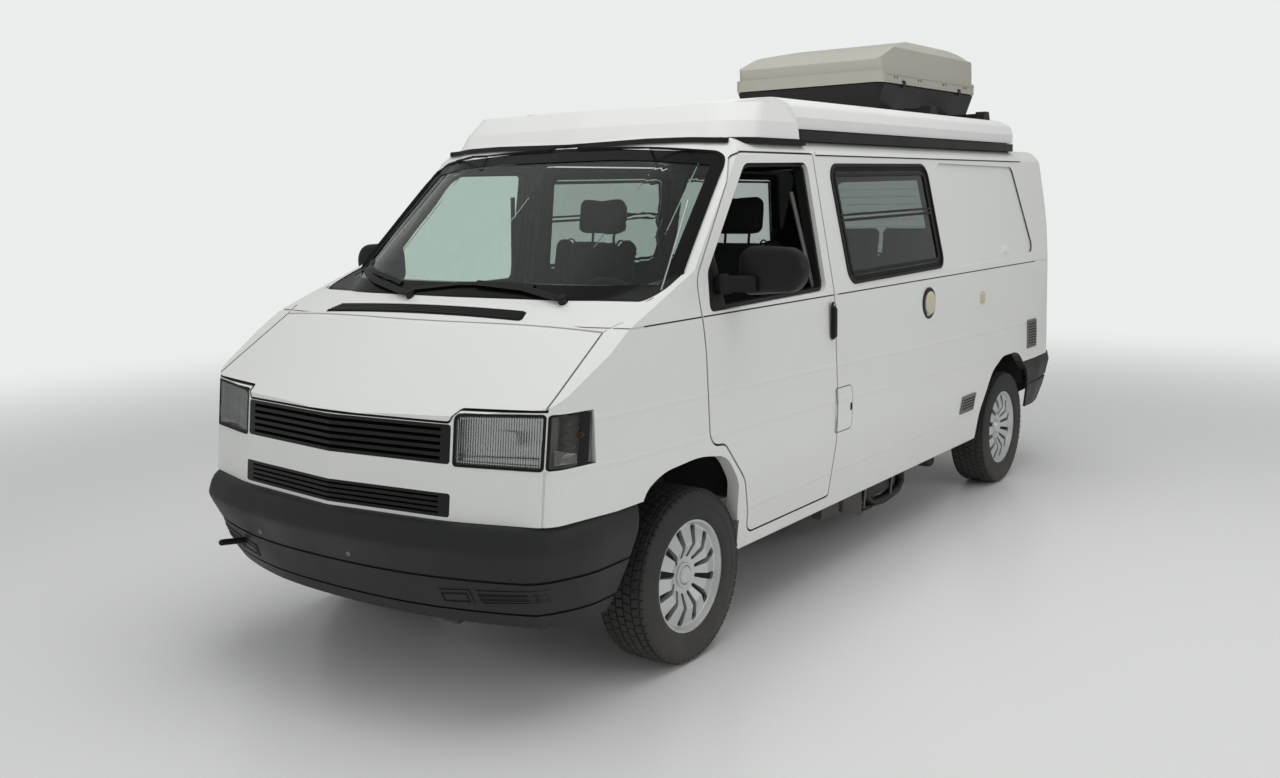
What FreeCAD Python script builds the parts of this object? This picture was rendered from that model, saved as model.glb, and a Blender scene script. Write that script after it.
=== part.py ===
"""Camper van with a lifting roof, a roof box, opening doors, bonnet and tailgate, and steered front wheels.

Millimetres. X points to the van's left, Y to its rear, Z up. Stations along Y are measured from the front
axle while the pieces are made; save() moves them so that the origin is on the ground under the middle.
"""

import FreeCAD
import Part
import math
import os

V = FreeCAD.Vector

# Overall sizes
LENGTH = 5192.0
FRONT_OVERHANG = 992.0
WHEELBASE = 3320.0
FRONT_TRACK = 1589.0
REAR_TRACK = 1554.0
TYRE_RADIUS = 326.0
REAR_OVERHANG = LENGTH - FRONT_OVERHANG - WHEELBASE
AXLE_Z = TYRE_RADIUS

# Body shell
WALL = 50.0
ROOF_WALL = 30.0
PANEL_GAP = 8.0
GLASS_SINK = 4.0
FRAME_W = 34.0
PRESS_DEPTH = 9.0
SCREEN_FLANGE = 45.0
GROOVE_DEPTH = 3.0
GROOVE = 6.0
GLASS_THICK = 6.0
SILL_Z = 328.0
BELT_Z = 1273.0
DRIP_Z = 1880.0
ROOF_CROWN_Z = 1942.0
BODY_FRONT_Y = -893.0
BODY_FRONT_Z = 928.0
BODY_REAR_Y = 4140.0
FACE_SLOPE = 0.12
HALF_WIDTH = 920.0
PLAN_SLACK = 12.0

# Bonnet, cowl and windscreen stations along the centre line
NOSE_Z = 985.0
BONNET_FRONT = (-868.0, 1008.0)
BONNET_REAR = (-452.0, 1272.0)
SCREEN_Z = (1345.0, 1920.0)
SCREEN_Y = (-285.0, 444.0)
SCREEN_BEND_X = (640.0, 600.0)
SCREEN_BEND_Y = (35.0, 20.0)
SCREEN_WRAP = (0.9, 0.4)
SCREEN_LEAN = 1.6
BONNET_SWING = 5500.0
BONNET_SPREAD = 30.0
COWL_SLOPE = 0.384

# Bumpers
BUMPER_Z0 = 328.0
BUMPER_Z1 = 684.0
BUMPER_WALL = 42.0
BUMPER_FRONT_Y = -FRONT_OVERHANG
REAR_BUMPER_Z1 = 692.0

# Doors
DOOR_REAR_Y = 1107.0
HINGE_X = 921.0
HINGE_Y = 84.0
DOOR_INNER_X = 742.0

# Wheel wells
WELL_FRONT_X = 500.0
WELL_REAR_X = 640.0

# Lifting roof and its front cap
CAP_REAR_Y = 935.0
POP_REAR_Y = 3690.0
POP_BOTTOM_Z = 1972.0
POP_TOP_Z = 2108.0
RAIL_Z = (1924.0, 1966.0)

# Roof box
BOX_HALF = 455.0
BOX_FRONT_Y = 2507.0
BOX_REAR_Y = 3897.0
BOX_SPLIT_Z = 2281.0
BOX_FLOOR_Z = 2150.0
BOX_TOP_Z = 2568.0

FRONT_AXLE_Y = -LENGTH / 2 + FRONT_OVERHANG


def save(name, shape):
    """Moves a finished piece into the part's frame and writes it."""
    moved = shape.copy()
    moved.translate(V(0, FRONT_AXLE_Y, 0))
    moved.exportStep("parts/" + name + ".step")


def on_side(u, v):
    return V(0, u, v)


def on_front(u, v):
    return V(u, 0, v)


def on_plan(u, v):
    return V(u, v, 0)


def outline(corners, place, closed=True):
    """Wire of straight runs through (u, v, radius) corners, each rounded by its radius."""
    n = len(corners)
    cuts = []
    for i, (u, v, r) in enumerate(corners):
        if r <= 0 or (not closed and i in (0, n - 1)):
            cuts.append((V(u, v, 0), None, V(u, v, 0)))
            continue
        here = V(u, v, 0)
        a = V(corners[i - 1][0], corners[i - 1][1], 0) - here
        b = V(corners[(i + 1) % n][0], corners[(i + 1) % n][1], 0) - here
        a.normalize()
        b.normalize()
        half = a.getAngle(b) / 2
        reach = r / math.tan(half)
        middle = a + b
        middle.normalize()
        crown = here + middle * (r / math.sin(half) - r)
        cuts.append((here + a * reach, crown, here + b * reach))
    edges = []
    for i in range(n):
        start, crown, end = cuts[i]
        if crown is not None:
            edges.append(Part.Arc(place(start.x, start.y), place(crown.x, crown.y),
                                  place(end.x, end.y)).toShape())
        if i == n - 1 and not closed:
            break
        nxt = cuts[(i + 1) % n][0]
        if (nxt - end).Length > 1e-6:
            edges.append(Part.LineSegment(place(end.x, end.y), place(nxt.x, nxt.y)).toShape())
    return Part.Wire(edges)


def prism(corners, place, start, reach, inset=0.0):
    """Solid from a rounded outline, moved to start and run along reach. A negative inset grows it."""
    wire = outline(corners, place)
    face = Part.Face(wire)
    if inset:
        face = Part.Face(wire.makeOffset2D(-inset))
    solid = face.extrude(reach)
    solid.translate(start)
    return solid


def side_prism(corners, x0, x1, inset=0.0):
    return prism(corners, on_side, V(x0, 0, 0), V(x1 - x0, 0, 0), inset)


def front_prism(corners, y0, y1, inset=0.0):
    return prism(corners, on_front, V(0, y0, 0), V(0, y1 - y0, 0), inset)


def plan_prism(corners, z0, z1, inset=0.0):
    return prism(corners, on_plan, V(0, 0, z0), V(0, 0, z1 - z0), inset)


def box(x0, x1, y0, y1, z0, z1):
    return Part.makeBox(x1 - x0, y1 - y0, z1 - z0, V(x0, y0, z0))


def mirrored(shape):
    return shape.mirror(V(0, 0, 0), V(1, 0, 0))


def tube(start, end, radius):
    run = end - start
    return Part.makeCylinder(radius, run.Length, start, run)


def fuse(shapes):
    whole = shapes[0].multiFuse(shapes[1:]) if len(shapes) > 1 else shapes[0]
    return whole.removeSplitter()


def group(shapes):
    """Solids of one node that don't touch, or only meet face to face."""
    solids = []
    for s in shapes:
        solids.extend(s.Solids)
    return Part.makeCompound(solids)


def solid_of(shape):
    """Drops slivers that a cut leaves behind, and keeps the real pieces."""
    solids = sorted(shape.Solids, key=lambda s: -s.Volume)
    kept = [s for s in solids if s.Volume > solids[0].Volume * 0.002]
    return kept[0] if len(kept) == 1 else Part.makeCompound(kept)


# Body form: plan, cross section and centre line

def plan_wire(front_y, rear_y, inset):
    """Plan of the body at one level: bowed nose, tapering front wings, rounded tail."""
    side = HALF_WIDTH + PLAN_SLACK
    half = [
        (0.0, front_y, 0.0),
        (530.0, front_y + 58.0, 900.0),
        (868.0, front_y + 158.0, 95.0),
        (side - 10.0, front_y + 480.0, 900.0),
        (side, 300.0, 0.0),
        (side, 3500.0, 0.0),
        (side - 30.0, rear_y - 150.0, 60.0),
        (side - 82.0, rear_y - 30.0, 90.0),
        (500.0, rear_y, 0.0),
    ]
    other = [(-u, v, r) for u, v, r in reversed(half[1:])]
    wire = outline(half + other, on_plan)
    return wire.makeOffset2D(-inset) if inset else wire


def body_plan(inset):
    low, high = 250.0, 2200.0
    wires = []
    for z in (low, high):
        rise = FACE_SLOPE * (z - BODY_FRONT_Z)
        wire = plan_wire(BODY_FRONT_Y + rise, BODY_REAR_Y - 0.4 * rise, inset)
        wire.translate(V(0, 0, z))
        wires.append(wire)
    return Part.makeLoft(wires, True, True)


def section_corners():
    half = [
        (862.0, SILL_Z, 12.0),
        (914.0, 640.0, 600.0),
        (920.0, 800.0, 900.0),
        (902.0, BELT_Z, 500.0),
        (797.0, DRIP_Z - 8.0, 60.0),
        (740.0, ROOF_CROWN_Z - 14.0, 90.0),
        (300.0, ROOF_CROWN_Z, 0.0),
    ]
    return half + [(-u, v, r) for u, v, r in reversed(half)]


def body_section(inset):
    wire = outline(section_corners(), on_front)
    if inset:
        wire = wire.makeOffset2D(-inset)
    solid = Part.Face(wire).extrude(V(0, 6000, 0))
    solid.translate(V(0, -1200, 0))
    return solid


def over_bonnet(inset):
    """Everything in front of the nose and above the bonnet and cowl, swung about an upright axis."""
    far_y = 1500.0
    far_z = BONNET_REAR[1] + COWL_SLOPE * (far_y - BONNET_REAR[0])
    corners = [
        (-2500.0, NOSE_Z - 60.0, 0.0),
        (-900.0, NOSE_Z - 60.0, 0.0),
        (-889.0, NOSE_Z, 0.0),
        (BONNET_FRONT[0], BONNET_FRONT[1], 30.0),
        (BONNET_REAR[0], BONNET_REAR[1], 200.0),
        (far_y, far_z, 0.0),
        (far_y, 2900.0, 0.0),
        (-2500.0, 2900.0, 0.0),
    ]
    wire = outline(corners, on_side)
    if inset:
        wire = wire.makeOffset2D(inset)
    axis_y = BODY_FRONT_Y + BONNET_SWING
    solid = Part.Face(wire).revolve(V(0, axis_y, 0), V(0, 0, 1), 2 * BONNET_SPREAD)
    solid.rotate(V(0, axis_y, 0), V(0, 0, 1), -BONNET_SPREAD)
    return solid


def screen_plan(z, inset):
    """Plan line of the windscreen at one height: flat in the middle, wrapped round at its ends."""
    low_z, top_z = SCREEN_Z
    part = (z - low_z) / (top_z - low_z)

    def between(pair):
        return pair[0] + (pair[1] - pair[0]) * part

    y = between(SCREEN_Y) + inset * SCREEN_LEAN
    bend = (between(SCREEN_BEND_X), y + between(SCREEN_BEND_Y))
    end = (1060.0, bend[1] + (1060.0 - bend[0]) * between(SCREEN_WRAP))
    half = [(bend[0], bend[1], 500.0), (end[0], end[1], 0.0), (end[0], -3000.0, 0.0)]
    return [(0.0, y, 0.0)] + half + [(-u, v, r) for u, v, r in reversed(half)]


def over_screen(inset):
    """Everything in front of the windscreen, carried on up past the roof."""
    wires = []
    for z in (880.0, 2150.0):
        wire = outline(screen_plan(z, inset), on_plan)
        wire.translate(V(0, 0, z))
        wires.append(wire)
    return Part.makeLoft(wires, True, True)


def body_form(inset):
    front = over_bonnet(inset).common(over_screen(inset))
    return body_plan(inset).common(body_section(inset)).cut(front)


def thickness(outer, inner, region):
    return outer.common(region).cut(inner)


os.makedirs("parts", exist_ok=True)
outer = body_form(0)
inner = body_form(WALL)
glass_outer = body_form(GLASS_SINK)
glass_inner = body_form(GLASS_SINK + GLASS_THICK)
groove_form = body_form(GROOVE_DEPTH)

# Openings

SCREEN = [(-860, 1346, 45), (860, 1346, 45), (768, 1866, 60), (0, 1914, 3000), (-768, 1866, 60)]
FRONT_DOOR = [
    (70, 1300, 300), (88, 1150, 400), (88, 800, 60), (190, 790, 60), (345, 620, 160), (400, 480, 200),
    (412, 389, 50), (1140, 389, 60), (1140, 1868, 60), (485, 1868, 90), (72, 1409, 110),
]
DOOR_GLASS = [(127, 1284, 25), (1042, 1297, 40), (1037, 1832, 40), (531, 1825, 70), (152, 1430, 60)]
SLIDE_DOOR = [(1152, 390, 60), (2345, 390, 60), (2345, 1862, 60), (1152, 1862, 60)]
MIDDLE_GLASS = [(1261, 1304, 70), (2342, 1316, 70), (2290, 1838, 70), (1225, 1830, 70)]
REAR_PANEL = [(2377, 1302, 50), (3736, 1333, 50), (3554, 1830, 50), (2429, 1843, 50)]
TAIL_DOOR = [(-762, 692, 50), (762, 692, 50), (762, 1300, 300), (712, 1866, 60), (-712, 1866, 60),
             (-762, 1300, 300)]
TAIL_GLASS = [(-650, 1250, 70), (650, 1250, 70), (620, 1800, 70), (-620, 1800, 70)]
LAMP = [(531, 862, 12), (836, 860, 12), (838, 1038, 12), (531, 1030, 12)]
TURN_LAMP = [(842, 861, 12), (990, 861, 0), (990, 1031, 0), (844, 1038, 12)]
UPPER_GRILLE = [(-519, 866, 12), (519, 866, 12), (519, 994, 12), (-519, 994, 12)]
LOWER_GRILLE = [(-525, 695, 10), (525, 695, 10), (525, 772, 10), (-525, 772, 10)]
REAR_LAMP = [(800, 760, 15), (990, 760, 0), (990, 1120, 0), (800, 1120, 15)]
HOOD = [
    (-846, -1200, 0), (846, -1200, 0), (838, -690, 900), (816, -401, 0), (595, -414, 1500), (0, -452, 4000),
    (-595, -414, 1500), (-816, -401, 0), (-838, -690, 900),
]
HOOD_EDGE = [(-1100, 1060, 0), (-850, 1048, 0), (-535, 1040, 15), (-510, 1000, 15), (510, 1000, 15), (535, 1040, 15),
             (850, 1048, 0), (1100, 1060, 0), (1100, 1500, 0), (-1100, 1500, 0)]
COWL = [(-590, -400, 12), (456, -400, 12), (428, -334, 20), (-562, -334, 20)]
FRONT_ARCH = [
    (352, 200, 0), (348, 380, 80), (318, 500, 150), (300, 620, 120), (205, 742, 150), (20, 774, 500),
    (-210, 762, 300), (-315, 716, 100), (-348, 640, 60), (-348, 200, 0),
]
REAR_ARCH = [
    (-425, 200, 0), (-425, 480, 200), (-330, 690, 180), (-150, 766, 200), (60, 766, 200), (140, 740, 200),
    (330, 600, 200), (330, 200, 0),
]
ROOF_HOLE = [(-560, 1120, 80), (560, 1120, 80), (560, 3480, 80), (-560, 3480, 80)]


def shifted(corners, dy):
    return [(u + dy, v, r) for u, v, r in corners]


HALF_GAP = PANEL_GAP / 2
SEAM_X = 839.0


def door_room(grow):
    """Region of the left front door. Its rear edge is round about the hinge, so that it swings clear."""
    region = side_prism(FRONT_DOOR, DOOR_INNER_X - grow, 1000, -grow)
    swing = Part.makeCylinder(DOOR_REAR_Y - HINGE_Y + grow, 2600, V(HINGE_X, HINGE_Y, 0))
    return region.common(swing)


hood_room = plan_prism(HOOD, 980, 1500, HALF_GAP).common(front_prism(HOOD_EDGE, -1300, 0, HALF_GAP))
hood_cut = plan_prism(HOOD, 980, 1500, -HALF_GAP).common(front_prism(HOOD_EDGE, -1300, 0, -HALF_GAP))
door = door_room(-HALF_GAP)
door_cut = door_room(HALF_GAP)
slide_cut = side_prism(SLIDE_DOOR, -1000, -600, -HALF_GAP)
slide = side_prism(SLIDE_DOOR, -1000, -600, HALF_GAP)
tail_cut = front_prism(TAIL_DOOR, 3700, 4300, -HALF_GAP)
tail = front_prism(TAIL_DOOR, 3700, 4300, HALF_GAP)
screen_seat = front_prism(SCREEN, -420, 640).common(over_screen(GLASS_SINK + GLASS_THICK))
screen_hole = front_prism(SCREEN, -420, 640, SCREEN_FLANGE).common(over_screen(WALL + 4))
front_arches = side_prism(FRONT_ARCH, -1000, 1000)
rear_arches = side_prism(shifted(REAR_ARCH, WHEELBASE), -1000, 1000)
middle_left = side_prism(MIDDLE_GLASS, 600, 1000)
rear_left = side_prism(REAR_PANEL, 600, 1000)
lamp_left = front_prism(LAMP, -1200, -480)
turn_left = front_prism(TURN_LAMP, -1200, -560)
rear_lamp_left = front_prism(REAR_LAMP, 3990, 4300)
upper_grille = front_prism(UPPER_GRILLE, -1200, -700)
lower_grille = front_prism(LOWER_GRILLE, -1200, -700)
cowl = plan_prism(COWL, 1200, 1400)

skin = outer.cut(groove_form)
corner_seam = skin.common(box(SEAM_X - GROOVE / 2, SEAM_X + GROOVE / 2, -1200, -600, BUMPER_Z1, 861))
belt = skin.common(box(-1000, 1000, -395, 4040, BELT_Z - GROOVE / 2, BELT_Z + GROOVE / 2))
FENDER_SEAM = [(816 - 3, -402, 0), (816 + 3, -402, 0), (850, -330, 0), (842, -330, 0)]
fender_seam = skin.common(plan_prism(FENDER_SEAM, 1260, 1345))
FLAP = [(1089, 675, 12), (1250, 675, 30), (1250, 870, 30), (1089, 870, 12)]
flap_cut = skin.common(side_prism(FLAP, 600, 1000, -2).cut(side_prism(FLAP, 600, 1000, 2)))

cuts = [
    inner, hood_cut, door_cut, mirrored(door_cut), slide_cut, tail_cut, screen_seat, screen_hole,
    front_arches, rear_arches, middle_left, mirrored(rear_left),
    lamp_left, mirrored(lamp_left), turn_left, mirrored(turn_left),
    rear_lamp_left, mirrored(rear_lamp_left), upper_grille, lower_grille, cowl,
    plan_prism(ROOF_HOLE, 1850, 2100),
    fender_seam, mirrored(fender_seam), corner_seam, mirrored(corner_seam),
    box(-790, 790, -1200, 4300, 200, 400),
    box(-1000, 1000, -1200, -300, 200, BUMPER_Z1),
    box(-1000, 1000, 3500, 4300, 200, REAR_BUMPER_Z1),
]
shell = solid_of(outer.cut(cuts[0]).cut(Part.makeCompound(cuts[1:])))

# Front corners: room for the steered wheels

KINGPIN_X = 720.0
SWEEP_R = 377.0
sweep = Part.makeCylinder(SWEEP_R, 300, V(KINGPIN_X, 0, 160))
shell = solid_of(shell.cut(sweep).cut(mirrored(sweep)).cut(belt).cut(flap_cut))
ring_panels = outer.cut(inner)

# Glass

glass_sheet = glass_outer.cut(glass_inner)
windscreen = solid_of(glass_sheet.common(screen_seat).cut(door_cut).cut(mirrored(door_cut)))
middle_sheet = side_prism(MIDDLE_GLASS, 600, 1000, FRAME_W)
middle_glass = solid_of(glass_sheet.common(middle_sheet))
side_glass = group([middle_glass])
frame_left = solid_of(ring_panels.common(middle_left.cut(middle_sheet)))

# Doors, bonnet, tailgate

door_panel = ring_panels.common(door)
door_glass_room = side_prism(DOOR_GLASS, 720, 1000)
door_left = solid_of(door_panel.cut(door_glass_room).cut(belt).cut(flap_cut))
door_right = mirrored(door_left)
MIRROR_FOOT = [(60, 1260, 0), (262, 1260, 0), (236, 1520, 0), (60, 1520, 0)]
foot_room = side_prism(MIRROR_FOOT, 600, 1000)
door_glass = mirrored(solid_of(glass_sheet.common(door_glass_room.cut(foot_room))))
mirror_foot = solid_of(ring_panels.common(door_glass_room).common(foot_room).common(glass_outer))

slide_panel = ring_panels.common(slide)
slide_window = mirrored(middle_left)
slide_door = solid_of(slide_panel.cut(slide_window).cut(belt))
slide_glass = mirrored(middle_glass)
slide_frame = mirrored(frame_left)

hood = solid_of(ring_panels.common(hood_room))
tail_glass_room = front_prism(TAIL_GLASS, 3700, 4300)
tail_panel = ring_panels.common(tail)
tailgate = solid_of(tail_panel.cut(tail_glass_room))
tailgate_glass = solid_of(glass_sheet.common(tail_glass_room))

# Left rear panel is pressed in, the right one holds a window

rear_press = side_prism(REAR_PANEL, 600, 1000)
shell = solid_of(shell.cut(rear_press.cut(body_form(PRESS_DEPTH))))
rear_sheet = mirrored(side_prism(REAR_PANEL, 600, 1000, FRAME_W))
rear_glass = solid_of(glass_sheet.common(rear_sheet))
rear_frame = solid_of(ring_panels.common(mirrored(rear_left).cut(rear_sheet)))
window_frames = group([frame_left, slide_frame, rear_frame])

# Lamps and grilles fill their openings

headlamp = solid_of(ring_panels.common(lamp_left))
turn_lamp = solid_of(ring_panels.common(turn_left))
rear_lamp = solid_of(ring_panels.common(rear_lamp_left))
headlamps = group([headlamp, mirrored(headlamp)])
turn_lamps = group([turn_lamp, mirrored(turn_lamp)])
rear_lamps = group([rear_lamp, mirrored(rear_lamp)])


def grille(room, low, high, count, bar):
    """Frame with level bars in a grille opening."""
    block = ring_panels.common(room)
    step = (high - low - bar) / count
    slots = [box(-480, 480, -1300, -700, low + bar + i * step, low + (i + 1) * step)
             for i in range(count)]
    return solid_of(block.cut(Part.makeCompound(slots)))


upper = grille(upper_grille, 866, 994, 5, 12)
lower = grille(lower_grille, 695, 772, 4, 10)
cowl_panel = solid_of(ring_panels.common(cowl))
grilles = group([upper, lower, cowl_panel])

# Bumpers

def bumper_plan(front, side):
    """Plan of the front bumper at one level, drawn in from its fullest line at the front and at the sides."""
    half = [
        (560, BUMPER_FRONT_Y + 47 + front, 650), (855 - side, BUMPER_FRONT_Y + 170 + 0.85 * front, 160),
        (922 - side, -600 + 0.2 * front, 260), (918 - side, -300, 0),
    ]
    return [(0, BUMPER_FRONT_Y + front, 0)] + half + [(-u, v, r) for u, v, r in reversed(half)]


def lofted(plan, levels):
    """Solid through one plan at several levels, given as (height, inset, ...)."""
    wires = []
    for z, *inset in levels:
        wire = outline(plan(*inset), on_plan)
        wire.translate(V(0, 0, z))
        wires.append(wire)
    return Part.makeLoft(wires, True, True)


BUMPER_END = [(-321, 700, 0), (-346, 684, 0), (-386, 484, 60), (-462, 328, 40), (-500, 200, 0), (100, 200, 0),
              (100, 700, 0)]
BUMPER_LEVELS = [(BUMPER_Z0, 127, 68), (376, 97, 52), (494, 52, 26), (642, 0, 0), (BUMPER_Z1, 44, 6)]
BUMPER_GROOVES = [(494, 503, 58, 32), (376, 385, 103, 58)]
bump_out = lofted(bumper_plan, BUMPER_LEVELS)
bump_in = lofted(bumper_plan, [(z, front + BUMPER_WALL, side + BUMPER_WALL) for z, front, side in BUMPER_LEVELS[:4]])
bump_low = plan_prism(bumper_plan(127 + BUMPER_WALL, 68 + BUMPER_WALL), BUMPER_Z0 - 5, BUMPER_Z0 + 1)
bump_top = plan_prism(bumper_plan(120, 48), 640, BUMPER_Z1 + 5)
bumper = bump_out.cut(bump_in).cut(bump_low).cut(bump_top).cut(side_prism(BUMPER_END, -1000, 1000))
for z0, z1, front, side in BUMPER_GROOVES:
    level = plan_prism(bumper_plan(front, side), z0 - 20, z1 + 20)
    bumper = bumper.cut(box(-1000, 1000, -1000, 0, z0, z1).cut(level))
FOG_SLOT = [(620, 408, 12), (838, 425, 12), (835, 474, 12), (612, 462, 12)]
FOG_PLUG = [(484, 400, 12), (598, 408, 12), (592, 462, 12), (476, 452, 12)]
slot_floor = plan_prism(bumper_plan(106, 70), 300, 500)
fog_slots = group([front_prism(slot, -1000, -560).cut(slot_floor) for slot in (FOG_SLOT, FOG_PLUG)])
front_bumper = solid_of(bumper.cut(fog_slots).cut(mirrored(fog_slots)))


def rear_plan(inset):
    """Plan of the rear bumper at one level, drawn in from its fullest line."""
    half = [
        (600, 4200 - inset, 400), (884 - 0.5 * inset, 4146 - inset, 80), (916 - 0.3 * inset, 3860 - inset, 300),
        (914 - 0.3 * inset, 3480, 0),
    ]
    return half + [(-u, v, r) for u, v, r in reversed(half)]


rear_out = lofted(rear_plan, [(400, 78), (520, 34), (640, 0), (REAR_BUMPER_Z1, 14)])
rear_in = lofted(rear_plan, [(395, 120), (520, 76), (634, 44)])
rear_arch_one = side_prism(shifted(REAR_ARCH, WHEELBASE), -1000, 1000)
rear_in = rear_in.fuse(box(-866, 866, 3000, 4104, 395, 700))
rear_bumper = rear_out.cut(rear_in).cut(rear_arch_one).cut(box(-866, 866, 3000, 3700, 300, 700))
rear_groove = box(-1000, 1000, 3400, 4300, 538, 550).cut(plan_prism(rear_plan(44), 500, 600))
rear_bumper = solid_of(rear_bumper.cut(rear_groove))

# Floor, bulkhead and wheel housings

FLOOR_Z0 = 530.0
FLOOR_Z1 = 560.0
BULKHEAD_Y = -412.0
HOUSING_WALL = 14.0
floor_slab = inner.common(box(-1000, 1000, BULKHEAD_Y, 4060, FLOOR_Z0, FLOOR_Z1))
bulkhead = inner.common(box(-1000, 1000, BULKHEAD_Y - 24, BULKHEAD_Y, FLOOR_Z0, 1190))
front_box = box(WELL_FRONT_X, 1000, -388, 388, 200, 800)
front_skin = box(WELL_FRONT_X - HOUSING_WALL, 1000, -388 - HOUSING_WALL, 388 + HOUSING_WALL, FLOOR_Z0, 814)
rear_y0 = WHEELBASE - 440.0
rear_y1 = WHEELBASE + 385.0
rear_box = box(WELL_REAR_X, 1000, rear_y0, rear_y1, 200, 785)
rear_skin = box(WELL_REAR_X - HOUSING_WALL, 1000, rear_y0 - HOUSING_WALL, rear_y1 + HOUSING_WALL,
                FLOOR_Z0, 799)
skins = inner.common(fuse([front_skin, rear_skin]))
skins = fuse([skins, mirrored(skins)])
wells = Part.makeCompound([front_box, rear_box, mirrored(front_box), mirrored(rear_box)])
floor_pan = solid_of(fuse([floor_slab, bulkhead, skins]).cut(wells))

# Front subframe, engine, rear axle, tanks

SUBFRAME_Z0 = 300.0
SUBFRAME_Z1 = 360.0
ARM_EYE_R = 26.0
BALL_PIN_R = 12.0
PIN_GAP = 0.3
KNUCKLE_Z0 = 232.0


def arm(side):
    """Lower suspension arm from the subframe to the ball pin under the knuckle."""
    corners = [(300, -120, 20), (KINGPIN_X - 20, -28, 10), (KINGPIN_X - 20, 28, 10), (300, 260, 20)]
    plate = plan_prism(corners, 196, 220)
    eye = Part.makeCylinder(ARM_EYE_R, 24, V(KINGPIN_X, 0, 196))
    hole = Part.makeCylinder(BALL_PIN_R + PIN_GAP, 40, V(KINGPIN_X, 0, 190))
    whole = fuse([plate, eye]).cut(hole)
    return whole if side > 0 else mirrored(whole)


rails = [box(x - 35, x + 35, -780, 420, SUBFRAME_Z0, FLOOR_Z0) for x in (-430, 430)]
cross = [box(-465, 465, -140, -60, 200, 300), box(-465, 465, 200, 280, 200, 300)]
legs = [box(x - 35, x + 35, y0, y1, 200, 310) for x in (-430, 430) for y0, y1 in ((-140, -60), (200, 280))]
crossbeam = box(-600, 600, -788, -742, 410, 600)
brackets = fuse([box(x - 40, x + 40, -930, -780, 400, 470) for x in (-430, 430)]).common(bump_in)
front_subframe = solid_of(fuse(rails + cross + legs + [crossbeam, brackets, arm(1), arm(-1)]))
engine_mount = box(-395, 395, -620, -560, 330, 390)
engine_block = fuse([box(-330, 240, -720, -440, 330, 900), box(-100, 380, -620, -440, 310, 620), engine_mount])
engine_block = engine_block.cut(Part.makeCompound(rails + [crossbeam]))

SPINDLE_R = 28.0
beam = box(-560, 560, WHEELBASE - 230, WHEELBASE - 150, 250, 330)
trailing = []
for sign in (-1, 1):
    x = 500.0 * sign
    trailing.append(box(x - 45, x + 45, WHEELBASE - 560, WHEELBASE + 40, 290, 360))
    trailing.append(box(x - 30, x + 30, WHEELBASE - 560, WHEELBASE - 480, 340, FLOOR_Z0))
    trailing.append(tube(V(x, WHEELBASE, AXLE_Z), V(sign * (REAR_TRACK / 2 + 20), WHEELBASE, AXLE_Z), SPINDLE_R))
rear_axle = solid_of(fuse([beam] + trailing))

tank = box(-420, 380, 900, 1650, 330, FLOOR_Z0)
water = box(-380, 420, 1900, 2560, 340, FLOOR_Z0)
spare = Part.makeCylinder(320, 190, V(0, 3700, 340))
exhaust = tube(V(-560, 600, 420), V(-560, 2400, 420), 38)
exhaust_end = box(-640, -480, 2400, 2740, 360, FLOOR_Z0)
hangers = [box(-575, -545, 700, 730, 430, FLOOR_Z0), box(-575, -545, 2300, 2330, 430, FLOOR_Z0)]
spare_post = box(-40, 40, 3660, 3740, 520, FLOOR_Z0)
underbody = group([fuse([tank]), water, fuse([spare, spare_post]), fuse([exhaust, exhaust_end] + hangers)])

# Knuckles and wheels

HUB_X = FRONT_TRACK / 2


def knuckle():
    body = box(KINGPIN_X - 45, KINGPIN_X + 20, -45, 45, KNUCKLE_Z0, 470)
    pin = Part.makeCylinder(BALL_PIN_R, KNUCKLE_Z0 - 190, V(KINGPIN_X, 0, 190))
    spindle = tube(V(KINGPIN_X, 0, AXLE_Z), V(HUB_X + 20, 0, AXLE_Z), SPINDLE_R)
    arm_out = box(KINGPIN_X - 140, KINGPIN_X - 40, -16, 16, 440, 470)
    strut = tube(V(KINGPIN_X - 110, 0, 440), V(KINGPIN_X - 110, 0, 700), 26)
    return fuse([body, pin, spindle, arm_out, strut])


def revolved(corners, x):
    """Turned piece about a wheel's axle, from (across, radius) corners."""
    points = outline([(a, AXLE_Z + b, r) for a, b, r in corners], on_front)
    solid = Part.Face(points).revolve(V(0, 0, AXLE_Z), V(1, 0, 0), 360)
    solid.translate(V(x, 0, 0))
    return solid


TYRE = [
    (-76, 203, 0), (-96, 212, 10), (-104, 262, 40), (-98, 305, 20), (-84, 323, 14), (0, 326, 0),
    (84, 323, 14), (98, 305, 20), (104, 262, 40), (96, 212, 10), (76, 203, 0),
]
RIM = [
    (-84, 213, 0), (-90, 214, 4), (-90, 198, 4), (-70, 188, 8), (20, 176, 8), (42, 60, 8), (40, 29, 0),
    (52, 29, 0), (60, 70, 8), (84, 120, 20), (66, 188, 10), (90, 202, 6), (88, 216, 5), (78, 202, 0),
    (-78, 202, 0),
]


COVER_SLOTS = 12
SLOT = [(68, -7, 5), (188, -17, 10), (188, 17, 10), (68, 7, 5)]


def cover_slots(x):
    """Ring of wedge slots pressed into the cover."""
    slot = prism(SLOT, on_side, V(x + 44, 0, AXLE_Z), V(60, 0, 0))
    slots = []
    for i in range(COVER_SLOTS):
        turned = slot.copy()
        turned.rotate(V(x, 0, AXLE_Z), V(1, 0, 0), (i + 0.5) * 360 / COVER_SLOTS)
        slots.append(turned)
    return Part.makeCompound(slots)


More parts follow.
